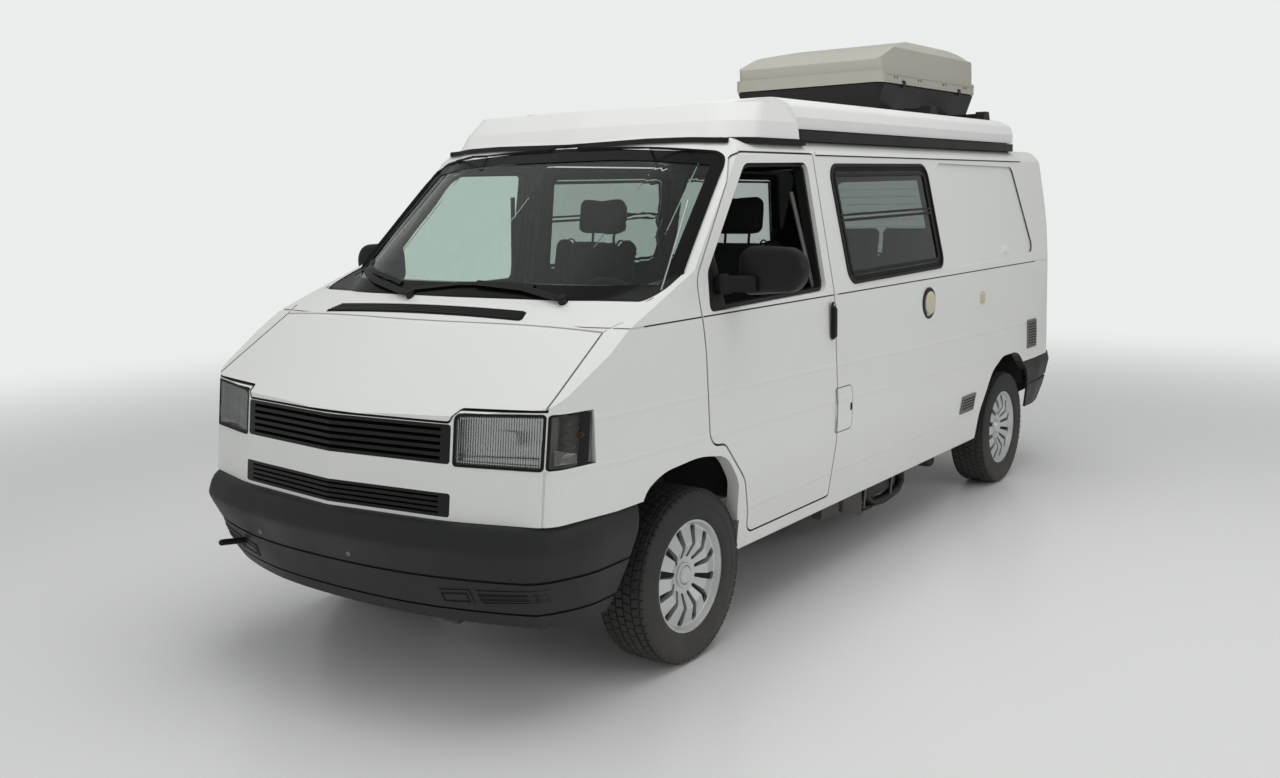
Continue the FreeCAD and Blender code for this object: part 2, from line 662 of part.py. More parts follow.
def wheel(side, x, y):
    tyre = revolved(TYRE, x)
    rim = revolved(RIM, x).cut(cover_slots(x))
    rim = rim.cut(tyre)
    hub = tube(V(x - 30, 0, AXLE_Z), V(x + 56, 0, AXLE_Z), 62)
    hub = hub.cut(tube(V(x - 40, 0, AXLE_Z), V(x + 24, 0, AXLE_Z), SPINDLE_R + PIN_GAP))
    rim = fuse([rim, hub])
    pair = []
    for s in (tyre, rim):
        moved = s if side > 0 else mirrored(s)
        moved = moved.copy()
        moved.translate(V(0, y, 0))
        pair.append(moved)
    return pair


wheels = {
    "front_left": wheel(1, FRONT_TRACK / 2, 0), "front_right": wheel(-1, FRONT_TRACK / 2, 0),
    "rear_left": wheel(1, REAR_TRACK / 2, WHEELBASE), "rear_right": wheel(-1, REAR_TRACK / 2, WHEELBASE),
}

# Cab and living space

dash = side_prism([(-330, 1010, 30), (-380, 1190, 30), (-270, 1262, 20), (-60, 1270, 60), (40, 1180, 50),
                   (20, 1010, 40)], -1000, 1000)
dash = dash.common(inner)
WHEEL_TILT = 55.0
rim_ring = Part.makeTorus(190, 15, V(0, 0, 0), V(0, 0, 1))
boss = Part.makeCylinder(52, 30, V(0, 0, -20))
spokes = [box(-185, 185, -16, 16, -10, 6), box(-16, 16, -185, 0, -10, 6)]
column = Part.makeCylinder(28, 420, V(0, 0, -400))
steering = fuse([rim_ring, boss] + spokes + [column])
steering.rotate(V(0, 0, 0), V(1, 0, 0), -WHEEL_TILT)
steering.translate(V(400, 265, 1230))
dashboard = group([fuse([dash, steering])])


def seat(x):
    """Front seat: pedestal, cushion, back and headrest."""
    base = box(x - 200, x + 200, 560, 960, FLOOR_Z1, 800)
    cushion = side_prism([(470, 800, 30), (480, 940, 50), (1010, 900, 50), (1010, 800, 30)], x - 250, x + 250)
    back = side_prism([(935, 905, 40), (1060, 880, 50), (1185, 1500, 45), (1075, 1520, 45)], x - 245, x + 245)
    rest = side_prism([(1075, 1530, 30), (1170, 1525, 30), (1190, 1700, 35), (1105, 1710, 35)], x - 140, x + 140)
    posts = [tube(V(x + s, 1120, 1440), V(x + s, 1140, 1620), 8) for s in (-70, 70)]
    return fuse([base, cushion, back, rest] + posts)


seat_driver = seat(400.0)
seat_passenger = seat(-400.0)
bench = fuse([
    box(-620, 560, 2560, 3100, FLOOR_Z1, 900),
    side_prism([(2540, 900, 30), (2545, 1010, 50), (3120, 980, 40), (3120, 900, 20)], -620, 560),
    side_prism([(3040, 985, 30), (3140, 960, 40), (3230, 1520, 50), (3120, 1530, 50)], -620, 560),
])
cabinet_room = box(580, 880, 1260, 3900, FLOOR_Z1, 1270)
cabinets = solid_of(cabinet_room.common(body_form(WALL + 10)).cut(rear_skin))

# Roof cap with tray, lifting roof, rail

TRAY_FLOOR_Z = 1975.0
TRAY_RIM = 42.0

CAP_Z = (1925.0, 1994.0, 2070.0)
CAP_GAP = 12.0
CAP_END_Z = 1985.0
POP_LOW_Y = 1032.0
POP_LEAN = 0.93


def cap_plan(level, rear_y):
    """Plan of the roof cap at one of its three levels."""
    front = (452, 503, 577)[level]
    corner = ((690, 500), (676, 552), (640, 622))[level]
    side_x, side_y = ((786, 640), (778, 678), (752, 740))[level]
    half = [(corner[0], corner[1], 120), (side_x, side_y, 100), (side_x, rear_y, 0)]
    return [(0, front, 0)] + half + [(-u, v, r) for u, v, r in reversed(half)]


def pop_front_y(z):
    """Station of the leaning front face of the lifting roof at a height."""
    return POP_LOW_Y - (z - POP_BOTTOM_Z) * POP_LEAN


def cap_form():
    wires = []
    for level, z in enumerate(CAP_Z):
        wire = outline(cap_plan(level, CAP_REAR_Y + 160), on_plan)
        wire.translate(V(0, 0, z))
        wires.append(wire)
    return Part.makeLoft(wires, True, True)


cap_end_y = pop_front_y(CAP_END_Z) - CAP_GAP
cap_end = side_prism([(cap_end_y, 1800, 0), (cap_end_y, CAP_END_Z, 0), (pop_front_y(2200) - CAP_GAP, 2200, 0),
                      (1500, 2200, 0), (1500, 1800, 0)], -1000, 1000)
cap = cap_form().cut(outer).cut(cap_end)
tray = plan_prism(cap_plan(2, CAP_REAR_Y - 20), TRAY_FLOOR_Z, 2100, TRAY_RIM)
roof_cap = solid_of(cap.cut(tray))

POP_SIDE = [
    (POP_LOW_Y, POP_BOTTOM_Z, 0), (pop_front_y(2086), 2086, 18), (952, POP_TOP_Z - 2, 30), (2300, POP_TOP_Z + 4, 6000),
    (3660, POP_TOP_Z - 4, 40), (POP_REAR_Y, 2040, 30), (POP_REAR_Y, POP_BOTTOM_Z, 0),
]
POP_SECTION = [
    (763, POP_BOTTOM_Z, 0), (767, 2020, 12), (746, 2072, 40), (690, 2105, 60), (0, 2112, 9000),
    (-690, 2105, 60), (-746, 2072, 40), (-767, 2020, 12), (-763, POP_BOTTOM_Z, 0),
]
POP_PLAN = [
    (0, 920, 5000), (640, 944, 400), (775, 1010, 60), (775, POP_REAR_Y, 40), (-775, POP_REAR_Y, 40),
    (-775, 1010, 60), (-640, 944, 400),
]
POP_WALL = 30.0
RAIL_DEPTH = 40.0


def pop_form(inset):
    side_face = Part.Face(outline(POP_SIDE, on_side).makeOffset2D(-inset) if inset else outline(POP_SIDE, on_side))
    section_face = Part.Face(outline(POP_SECTION, on_front).makeOffset2D(-inset) if inset
                             else outline(POP_SECTION, on_front))
    a = side_face.extrude(V(2000, 0, 0))
    a.translate(V(-1000, 0, 0))
    b = section_face.extrude(V(0, 4000, 0))
    b.translate(V(0, 500, 0))
    return a.common(b).common(plan_prism(POP_PLAN, 1900, 2200, inset))


pop_outer = pop_form(0)
pop_inner = pop_form(POP_WALL)
poptop_shell = pop_outer.cut(pop_inner).cut(pop_inner.copy().translated(V(0, 0, -POP_WALL - 4)))

# Hinges: a sleeve on the moving panel turns on a pin held between two ears

PIN_R = 4.0
EAR = 12.0
SLEEVE = 50.0
SIDE_PLAY = 5.0
POP_HINGE_Y = POP_REAR_Y + 12.0
POP_HINGE_Z = POP_BOTTOM_Z + 3.0
TAIL_HINGE_Y = 4101.0
TAIL_HINGE_Z = 1866.0


def hinge(x, y, z, sleeve_r):
    """Pin and sleeve along X: returns the pin with its ear sites and the bored sleeve."""
    half = SLEEVE / 2
    pin = tube(V(x - half - SIDE_PLAY - EAR, y, z), V(x + half + SIDE_PLAY + EAR, y, z), PIN_R)
    bore = tube(V(x - half - 1, y, z), V(x + half + 1, y, z), PIN_R + PIN_GAP)
    sleeve = tube(V(x - half, y, z), V(x + half, y, z), sleeve_r)
    ears = [(x - half - SIDE_PLAY - EAR, x - half - SIDE_PLAY), (x + half + SIDE_PLAY, x + half + SIDE_PLAY + EAR)]
    return pin, ears, sleeve, bore


pop_fixed = []
pop_moving = []
tail_fixed = []
tail_moving = []
for x in (-500.0, 500.0):
    pin, ears, sleeve, bore = hinge(x, POP_HINGE_Y, POP_HINGE_Z, 9.0)
    stems = [box(x0, x1, POP_HINGE_Y - 3, POP_HINGE_Y + 12, ROOF_CROWN_Z - 30, POP_HINGE_Z) for x0, x1 in ears]
    pop_fixed += [pin] + stems
    bridge = box(x - SLEEVE / 2, x + SLEEVE / 2, POP_REAR_Y - 20, POP_HINGE_Y, POP_HINGE_Z - 3, POP_HINGE_Z + 7)
    pop_moving.append(fuse([sleeve, bridge]).cut(bore))
for x in (-450.0, 450.0):
    pin, ears, sleeve, bore = hinge(x, TAIL_HINGE_Y, TAIL_HINGE_Z, 6.0)
    for x0, x1 in ears:
        tail_fixed.append(box(x0, x1, TAIL_HINGE_Y - 3, TAIL_HINGE_Y + 4, TAIL_HINGE_Z, TAIL_HINGE_Z + 20))
        tail_fixed.append(box(x0, x1, TAIL_HINGE_Y - 24, TAIL_HINGE_Y + 4, TAIL_HINGE_Z + 6, TAIL_HINGE_Z + 20))
    tail_fixed.append(pin)
    leaf = box(x - SLEEVE / 2, x + SLEEVE / 2, TAIL_HINGE_Y - 20, TAIL_HINGE_Y + 3, TAIL_HINGE_Z - 24, TAIL_HINGE_Z - 4)
    tail_moving.append(fuse([sleeve, leaf]).cut(bore))
shell = fuse([shell] + pop_fixed + tail_fixed)
poptop_shell = fuse([solid_of(poptop_shell)] + pop_moving)
tailgate = fuse([tailgate] + tail_moving)
rail_ring = plan_prism(POP_PLAN, *RAIL_Z).cut(plan_prism(POP_PLAN, 1850, 2000, RAIL_DEPTH))
roof_rail = rail_ring.cut(outer).common(box(-1000, 1000, cap_end_y + CAP_GAP, POP_REAR_Y, *RAIL_Z))

# Roof box and bars

BAR_Y = (2760.0, 3560.0)
BAR_HALF = 620.0
BAR_Z = (2122.0, 2148.0)
bars = []
for y in BAR_Y:
    bars.append(box(-BAR_HALF, BAR_HALF, y - 20, y + 20, *BAR_Z))
    for x in (-BAR_HALF, BAR_HALF):
        foot = side_prism([(y - 60, 2085, 0), (y - 34, 2158, 12), (y + 34, 2158, 12), (y + 60, 2085, 0)], x - 28, x + 28)
        bars.append(foot)
rack_bars = fuse(bars).cut(pop_outer)
BOX_PLAN = [(-BOX_HALF, BOX_FRONT_Y, 60), (BOX_HALF, BOX_FRONT_Y, 60), (BOX_HALF, BOX_REAR_Y, 60),
            (-BOX_HALF, BOX_REAR_Y, 60)]


def box_loft(inset0, z0, inset1, z1):
    low = outline(BOX_PLAN, on_plan).makeOffset2D(-inset0)
    high = outline(BOX_PLAN, on_plan).makeOffset2D(-inset1)
    low.translate(V(0, 0, z0))
    high.translate(V(0, 0, z1))
    return Part.makeLoft([low, high], True, True)


LID_GAP = 6.0
BOX_WALL = 8.0
box_base = box_loft(50, 2148, 6, BOX_SPLIT_Z - LID_GAP).cut(box_loft(58, 2158, 14, BOX_SPLIT_Z))
flange = plan_prism(BOX_PLAN, BOX_SPLIT_Z, BOX_SPLIT_Z + 62)
LID_RIM_Z = BOX_SPLIT_Z + 50
LID_SIDE = [
    (BOX_FRONT_Y + 20, LID_RIM_Z, 0), (BOX_FRONT_Y + 25, 2407, 14), (BOX_FRONT_Y + 240, 2486, 400),
    (BOX_FRONT_Y + 650, BOX_TOP_Z - 14, 1500), (BOX_REAR_Y - 280, BOX_TOP_Z - 4, 900), (BOX_REAR_Y - 62, 2522, 70),
    (BOX_REAR_Y - 18, 2424, 20), (BOX_REAR_Y - 16, LID_RIM_Z, 0),
]
LID_SECTION = [
    (BOX_HALF - 14, LID_RIM_Z, 0), (BOX_HALF - 24, 2480, 8), (BOX_HALF - 40, 2485, 8),
    (BOX_HALF - 130, BOX_TOP_Z - 18, 90), (0, BOX_TOP_Z, 3000),
]
LID_PLAN = [(0, BOX_FRONT_Y + 18, 0), (BOX_HALF - 12, BOX_FRONT_Y + 22, 45), (BOX_HALF - 12, BOX_REAR_Y - 16, 50)]


def both_halves(corners):
    """Outline with its right half added as the mirror image of the left."""
    return corners + [(-u, v, r) for u, v, r in reversed(corners) if u > 0]


def lid_form(inset):
    crown = side_prism(LID_SIDE, -BOX_HALF, BOX_HALF, inset)
    across = front_prism(both_halves(LID_SECTION), BOX_FRONT_Y - 50, BOX_REAR_Y + 50, inset)
    return crown.common(across).common(plan_prism(both_halves(LID_PLAN), 2200, 2600, inset))


lid_body = fuse([flange, lid_form(0)])
hollow_low = plan_prism(BOX_PLAN, BOX_SPLIT_Z - 1, BOX_SPLIT_Z + 54, BOX_WALL)
hollow_high = lid_form(BOX_WALL)
hollow_high = fuse([hollow_high, hollow_high.copy().translated(V(0, 0, -30))]).common(plan_prism(BOX_PLAN, BOX_SPLIT_Z + 20, 2600, 30))
box_lid = lid_body.cut(hollow_low).cut(hollow_high)

# Side hinges of the box lid, along Y

BOX_HINGE_X = -(BOX_HALF + 8.0)
BOX_HINGE_Z = BOX_SPLIT_Z + 9.0
lid_moving = []
base_fixed = []
for y in (BOX_FRONT_Y + 260.0, BOX_REAR_Y - 260.0):
    half = SLEEVE / 2
    at = V(BOX_HINGE_X, y, BOX_HINGE_Z)
    reach = V(0, half, 0)
    ear = V(0, half + SIDE_PLAY + EAR, 0)
    base_fixed.append(tube(at - ear, at + ear, PIN_R))
    for y0 in (y - half - SIDE_PLAY - EAR, y + half + SIDE_PLAY):
        base_fixed.append(box(BOX_HINGE_X - 4, BOX_HINGE_X + 3, y0, y0 + EAR, BOX_HINGE_Z - 30, BOX_HINGE_Z))
        base_fixed.append(box(BOX_HINGE_X - 4, BOX_HINGE_X + 22, y0, y0 + EAR, BOX_HINGE_Z - 30, BOX_HINGE_Z - 16))
    bore = tube(at - reach * 1.1, at + reach * 1.1, PIN_R + PIN_GAP)
    sleeve = tube(at - reach, at + reach, 7.5)
    web = box(BOX_HINGE_X, BOX_HINGE_X + 12, y - half, y + half, BOX_HINGE_Z - 6, BOX_HINGE_Z + 7)
    lid_moving.append(fuse([sleeve, web]).cut(bore))
box_hollow = box_loft(58, 2158, 14, BOX_SPLIT_Z)
box_base = fuse([box_base] + [piece.cut(box_hollow) for piece in base_fixed])
box_lid = solid_of(fuse([solid_of(box_lid)] + lid_moving))

# Mirrors, handles, wipers


MIRROR = [(905, 1328, 50), (1184, 1352, 60), (1188, 1512, 70), (912, 1526, 60)]
MIRROR_Y = (285.0, 347.0)


def door_trim():
    """Mirror with its arm and foot, and the door handle."""
    block = front_prism(MIRROR, MIRROR_Y[0], MIRROR_Y[1])
    housing = block.makeFillet(18, block.Edges)
    arm = plan_prism([(850, 190, 0), (885, 190, 10), (1010, 262, 20), (1010, 320, 0), (985, 320, 20),
                      (900, 262, 20), (850, 255, 0)], 1344, 1420).cut(glass_outer)
    foot = mirror_foot
    handle = box(895, 952, 1024, 1080, 1085, 1248).cut(outer)
    return group([fuse([foot, arm, housing]), handle])


trim_left = door_trim()
trim_right = mirrored(trim_left)

save("body_shell", shell)
save("floor_pan", floor_pan)
save("roof_cap", roof_cap)
save("roof_rail", roof_rail)
save("windscreen", windscreen)
save("side_glass", group([side_glass, slide_glass, rear_glass]))
save("window_frames", window_frames)
save("front_bumper", front_bumper)
save("rear_bumper", rear_bumper)
save("grilles", grilles)
save("headlamps", headlamps)
save("turn_lamps", turn_lamps)
save("rear_lamps", rear_lamps)
save("front_subframe", front_subframe)
save("engine_block", engine_block)
save("rear_axle", rear_axle)
save("underbody", underbody)
save("dashboard", dashboard)
save("seat_driver", seat_driver)
save("seat_passenger", seat_passenger)
save("rear_bench", bench)
save("cabinets", cabinets)
save("sliding_door", slide_door)
save("hood", hood)
save("tailgate", tailgate)
save("tailgate_glass", tailgate_glass)
save("door_left", door_left)
save("door_right", door_right)
save("door_left_trim", trim_left)
save("door_right_trim", trim_right)
save("door_right_glass", door_glass)
save("poptop_shell", poptop_shell)
save("rack_bars", rack_bars)
save("box_base", box_base)
save("box_lid", box_lid)
save("knuckle_left", knuckle())
save("knuckle_right", mirrored(knuckle()))
for place, (tyre, rim) in wheels.items():
    save("tyre_" + place, tyre)
    save("rim_" + place, rim)
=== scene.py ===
"""Looks of a camper van with a lifting roof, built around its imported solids."""

import bmesh
import bpy
import math
from bpy.props import FloatProperty, FloatVectorProperty, PointerProperty
from mathutils import Matrix, Vector
from mathutils.bvhtree import BVHTree


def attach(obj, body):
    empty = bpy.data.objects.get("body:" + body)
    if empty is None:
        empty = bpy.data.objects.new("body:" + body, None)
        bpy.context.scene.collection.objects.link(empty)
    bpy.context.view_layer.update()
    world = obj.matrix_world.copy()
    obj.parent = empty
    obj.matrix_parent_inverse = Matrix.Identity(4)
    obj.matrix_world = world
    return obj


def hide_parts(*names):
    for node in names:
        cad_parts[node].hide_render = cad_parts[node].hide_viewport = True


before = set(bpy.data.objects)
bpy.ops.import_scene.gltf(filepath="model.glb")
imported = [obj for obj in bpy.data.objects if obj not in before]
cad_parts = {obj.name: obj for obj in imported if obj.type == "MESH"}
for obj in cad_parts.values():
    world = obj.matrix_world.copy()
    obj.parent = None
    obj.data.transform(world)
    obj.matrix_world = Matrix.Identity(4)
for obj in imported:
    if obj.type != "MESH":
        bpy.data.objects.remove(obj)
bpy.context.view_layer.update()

bl_info = {
    "name": "Camper Van",
    "version": (1, 0, 0),
    "blender": (4, 5, 0),
    "location": "View3D > Sidebar > Camper Van",
    "description": "Finishes and details of a camper van",
    "category": "Object",
}

# Stations along Y are measured from the front axle while the pieces are made, in metres
FRONT_AXLE = Vector((0, -1.604, 0))
WHEELBASE = 3.32
AXLE_Z = 0.326
SIDES = {"left": 1, "right": -1}
HALF_TRACK = {"front": 0.7945, "rear": 0.777}
SLOTS = 12  # in a wheel cover

# Foot of the door windows, and how far the glass leans in for each metre above it
DOOR_SILL = 1.284
DOOR_LEAN = 0.176

# Axes of the shared frame: X to the van's left, Y to its rear, Z up
X, Y, Z = (1, 0, 0), (0, 1, 0), (0, 0, 1)


# Sizes and colours that a user may change

def colour(name, description, default):
    return FloatVectorProperty(name=name, description=description, subtype="COLOR", size=3, min=0, max=1,
                               default=default)


def length(name, description, default):
    return FloatProperty(name=name, description=description, unit="LENGTH", default=default)


class StageSettings(bpy.types.PropertyGroup):
    camera_place: FloatVectorProperty(
        name="Camera Place", description="Where the camera stands", size=3, unit="LENGTH",
        default=(3.257, -5.145, 1.702))
    camera_turn: FloatVectorProperty(
        name="Camera Turn", description="Which way the camera looks", size=3, subtype="EULER",
        default=(math.radians(80.9665), math.radians(1.2177), math.radians(35.9529)))
    camera_lens: FloatProperty(
        name="Lens", description="Focal length on a 36 mm wide sensor", unit="CAMERA", default=33.9)


class FinishSettings(bpy.types.PropertyGroup):
    paint: colour("Paint", "Body paint", (0.80, 0.81, 0.785))
    roof: colour("Roof", "Gel coat of the lifting roof and its cap", (0.82, 0.825, 0.81))
    bumper: colour("Bumper", "Grained bumper plastic", (0.016, 0.0165, 0.0170))
    lid: colour("Roof Box Lid", "Lid of the roof box", (0.43, 0.42, 0.365))
    cover: colour("Wheel Cover", "Painted wheel covers", (0.62, 0.63, 0.63))
    seat: colour("Seat Cloth", "Cloth of seats and bench", (0.014, 0.0145, 0.016))
    glass_tint: colour("Screen Tint", "Tint of the windscreen and door glass", (0.72, 0.82, 0.765))


class SizeSettings(bpy.types.PropertyGroup):
    rubber: length("Screen Border", "Width of the black border round the windscreen", 0.050)
    tread: length("Tread Depth", "Depth of the tyre grooves", 0.007)
    piping: length("Piping", "Radius of the piping on the seats", 0.0035)


# Node helpers

def add_node(tree, kind, **values):
    """Adds a node and sets its inputs by name; a socket in place of a number is linked."""
    node = tree.nodes.new(kind)
    for key, value in values.items():
        if hasattr(node, key):
            setattr(node, key, value)
            continue
        socket = node.inputs[int(key[1:])] if key[0] == "_" else node.inputs[key.replace("_", " ")]
        if isinstance(value, bpy.types.NodeSocket):
            tree.links.new(value, socket)
        else:
            socket.default_value = value
    return node


def math_node(tree, operation, a, b=0.5, clamp=False):
    return add_node(tree, "ShaderNodeMath", operation=operation, use_clamp=clamp, _0=a, _1=b).outputs[0]


def new_group(name, inputs, outputs):
    """Empty shader group with named sockets; inputs are (name, default)."""
    tree = bpy.data.node_groups.new(name, "ShaderNodeTree")
    for label, default in inputs:
        kind = "NodeSocketFloat" if isinstance(default, float) else "NodeSocketColor"
        tree.interface.new_socket(label, in_out="INPUT", socket_type=kind).default_value = default
    for label, kind in outputs:
        tree.interface.new_socket(label, in_out="OUTPUT", socket_type=kind)
    return tree, tree.nodes.new("NodeGroupInput"), tree.nodes.new("NodeGroupOutput")


def grain_group():
    """Cloudy variation and fine grain on Object coordinates."""
    tree, given, result = new_group(
        "grain", [("Cloud Scale", 4.0), ("Grain Scale", 900.0), ("Detail", 3.0)],
        [("Cloud", "NodeSocketFloat"), ("Grain", "NodeSocketFloat")])
    place = tree.nodes.new("ShaderNodeTexCoord").outputs["Object"]
    cloud = add_node(tree, "ShaderNodeTexNoise", Vector=place, Scale=given.outputs[0],
                     Detail=given.outputs[2])
    fine = add_node(tree, "ShaderNodeTexNoise", Vector=place, Scale=given.outputs[1], Detail=2.0)
    tree.links.new(cloud.outputs["Fac"], result.inputs[0])
    tree.links.new(fine.outputs["Fac"], result.inputs[1])
    return tree


def dust_group():
    """Road dust: strongest near the ground, broken up by noise."""
    tree, given, result = new_group(
        "dust", [("Height", 0.9), ("Amount", 0.3)], [("Dust", "NodeSocketFloat")])
    place = tree.nodes.new("ShaderNodeTexCoord").outputs["Object"]
    z = add_node(tree, "ShaderNodeSeparateXYZ", Vector=place).outputs["Z"]
    low = add_node(tree, "ShaderNodeMapRange", Value=z, From_Min=0.0, From_Max=given.outputs[0], To_Min=1.0,
                   To_Max=0.0).outputs[0]
    patch = add_node(tree, "ShaderNodeTexNoise", Vector=place, Scale=6.0, Detail=6.0, Roughness=0.65)
    broken = math_node(tree, "MULTIPLY", math_node(tree, "POWER", low, 1.6), patch.outputs["Fac"])
    whole = math_node(tree, "MULTIPLY", broken, given.outputs[1], clamp=True)
    tree.links.new(whole, result.inputs[0])
    return tree


def place_group(tree, group, **values):
    node = tree.nodes.new("ShaderNodeGroup")
    node.node_tree = bpy.data.node_groups[group]
    for key, value in values.items():
        node.inputs[key.replace("_", " ")].default_value = value
    return node


def blank_material(name):
    material = bpy.data.materials.new(name)
    material.use_nodes = True
    tree = material.node_tree
    return material, tree, tree.nodes["Principled BSDF"]


def mixed(tree, mask, a, b):
    """Colour a where the mask is 0, b where it is 1."""
    node = add_node(tree, "ShaderNodeMix", data_type="RGBA")
    tree.links.new(mask, node.inputs[0])
    for socket, value in ((node.inputs[6], a), (node.inputs[7], b)):
        if isinstance(value, bpy.types.NodeSocket):
            tree.links.new(value, socket)
        else:
            socket.default_value = (*value, 1)
    return node.outputs[2]


def scaled(rgb, factor):
    return tuple(min(1.0, c * factor) for c in rgb)


DUST_RGB = (0.30, 0.28, 0.25)


def surface(name, rgb, rough, spread=0.05, cloud=4.0, grain=900.0, bump=0.0, bump_reach=0.0004, metallic=0.0,
            coat=0.0, dust=0.0, dust_height=0.9, shift=0.06, shine=0.5):
    """Solid finish: clouded colour, uneven roughness, fine grain in the bump, dust towards the ground."""
    material, tree, shader = blank_material(name)
    pattern = place_group(tree, "grain", Cloud_Scale=cloud, Grain_Scale=grain)
    base = mixed(tree, pattern.outputs["Cloud"], scaled(rgb, 1 - shift), scaled(rgb, 1 + shift))
    low, high = max(0.02, rough - spread), min(1, rough + spread)
    rough_map = add_node(tree, "ShaderNodeMapRange", Value=pattern.outputs["Cloud"], From_Min=0.3,
                         From_Max=0.7, To_Min=low, To_Max=high).outputs[0]
    if dust:
        mask = place_group(tree, "dust", Height=dust_height, Amount=dust).outputs[0]
        base = mixed(tree, mask, base, DUST_RGB)
        rough_map = math_node(tree, "ADD", rough_map, math_node(tree, "MULTIPLY", mask, 0.4), clamp=True)
    tree.links.new(base, shader.inputs["Base Color"])
    tree.links.new(rough_map, shader.inputs["Roughness"])
    shader.inputs["Metallic"].default_value = metallic
    shader.inputs["Coat Weight"].default_value = coat
    shader.inputs["Specular IOR Level"].default_value = shine
    shader.inputs["Coat Roughness"].default_value = 0.04
    if bump:
        node = add_node(tree, "ShaderNodeBump", Strength=bump, Distance=bump_reach,
                        Height=pattern.outputs["Grain"])
        tree.links.new(node.outputs[0], shader.inputs["Normal"])
    return material


def clear(name, rgb, rough=0.01, ior=1.45, smear=0.02, shine=0.5):
    """Glass or clear plastic with a faint film."""
    material, tree, shader = blank_material(name)
    pattern = place_group(tree, "grain", Cloud_Scale=3.0, Grain_Scale=60.0)
    base = mixed(tree, pattern.outputs["Cloud"], scaled(rgb, 0.97), scaled(rgb, 1.03))
    film = add_node(tree, "ShaderNodeMapRange", Value=pattern.outputs["Cloud"], From_Min=0.45, From_Max=0.8,
                    To_Min=rough, To_Max=rough + smear).outputs[0]
    tree.links.new(base, shader.inputs["Base Color"])
    tree.links.new(film, shader.inputs["Roughness"])
    shader.inputs["Transmission Weight"].default_value = 1.0
    shader.inputs["IOR"].default_value = ior
    shader.inputs["Specular IOR Level"].default_value = shine
    return material


# Swage lines as (height at the part's middle, slope along Y, half width, depth)
SWAGES = ((0.959, -0.0209, 0.014, 1.0), (0.8064, -0.0200, 0.014, 1.0), (0.497, 0.0, 0.010, 0.7))


def pressed_lines(tree):
    """Height of the pressed swage lines that run along the van's flanks, from Object coordinates."""
    place = tree.nodes.new("ShaderNodeTexCoord").outputs["Object"]
    axes = add_node(tree, "ShaderNodeSeparateXYZ", Vector=place)
    along = axes.outputs["Y"]
    rise = None
    for start_z, slope, width, depth in SWAGES:
        line = math_node(tree, "MULTIPLY_ADD", along, slope)
        tree.nodes[-1].inputs[2].default_value = start_z
        away = math_node(tree, "ABSOLUTE", math_node(tree, "SUBTRACT", axes.outputs["Z"], line))
        step = add_node(tree, "ShaderNodeMapRange", Value=away, From_Min=0.0, From_Max=width, To_Min=depth,
                        To_Max=0.0).outputs[0]
        rise = step if rise is None else math_node(tree, "ADD", rise, step)
    side = math_node(tree, "ABSOLUTE", axes.outputs["X"])
    flank = add_node(tree, "ShaderNodeMapRange", Value=side, From_Min=0.80, From_Max=0.86).outputs[0]
    return math_node(tree, "MULTIPLY", rise, flank)


def lined(tree, shader, base, rough, rgb):
    """Dark lining on faces that look towards the cab's middle."""
    place = tree.nodes.new("ShaderNodeTexCoord")
    from_middle = add_node(tree, "ShaderNodeVectorMath", operation="SUBTRACT", _0=place.outputs["Object"],
                           _1=(0.0, 0.2, 1.15))
    facing = add_node(tree, "ShaderNodeVectorMath", operation="DOT_PRODUCT", _0=from_middle.outputs[0],
                      _1=place.outputs["Normal"])
    inside = add_node(tree, "ShaderNodeMapRange", Value=facing.outputs["Value"], From_Min=0.0,
                      From_Max=-0.02).outputs[0]
    tree.links.new(mixed(tree, inside, base, rgb), shader.inputs["Base Color"])
    tree.links.new(math_node(tree, "MAXIMUM", rough, inside), shader.inputs["Roughness"])
    return inside


def paint_material(name, rgb):
    """White coach paint: faint orange peel, pressed lines, light dust on the sills."""
    material = surface(name, rgb, 0.34, spread=0.05, cloud=2.5, grain=420.0, coat=0.5, dust=0.22,
                       dust_height=0.75, shift=0.012)
    tree = material.node_tree
    shader = tree.nodes["Principled BSDF"]
    lined(tree, shader, shader.inputs["Base Color"].links[0].from_socket,
          shader.inputs["Roughness"].links[0].from_socket, (0.055, 0.053, 0.05))
    pattern = place_group(tree, "grain", Cloud_Scale=2.5, Grain_Scale=420.0)
    peel = add_node(tree, "ShaderNodeBump", Strength=0.05, Distance=0.0002, Height=pattern.outputs["Grain"])
    lines = add_node(tree, "ShaderNodeBump", Strength=0.55, Distance=0.004, Height=pressed_lines(tree))
    tree.links.new(peel.outputs[0], lines.inputs["Normal"])
    tree.links.new(lines.outputs[0], shader.inputs["Normal"])
    return material


def ribbed(name, rgb, pitch, rough=0.03):
    """Clear lens with upright flutes."""
    material = clear(name, rgb, rough, ior=1.46, smear=0.03)
    tree = material.node_tree
    shader = tree.nodes["Principled BSDF"]
    place = tree.nodes.new("ShaderNodeTexCoord").outputs["Object"]
    flute = add_node(tree, "ShaderNodeTexWave", Vector=place, bands_direction="X", Scale=0.314 / pitch,
                     Distortion=0.4, Detail=1.0, Detail_Scale=2.0)
    bump = add_node(tree, "ShaderNodeBump", Strength=0.6, Distance=0.003, Height=flute.outputs["Fac"])
    tree.links.new(bump.outputs[0], shader.inputs["Normal"])
    return material


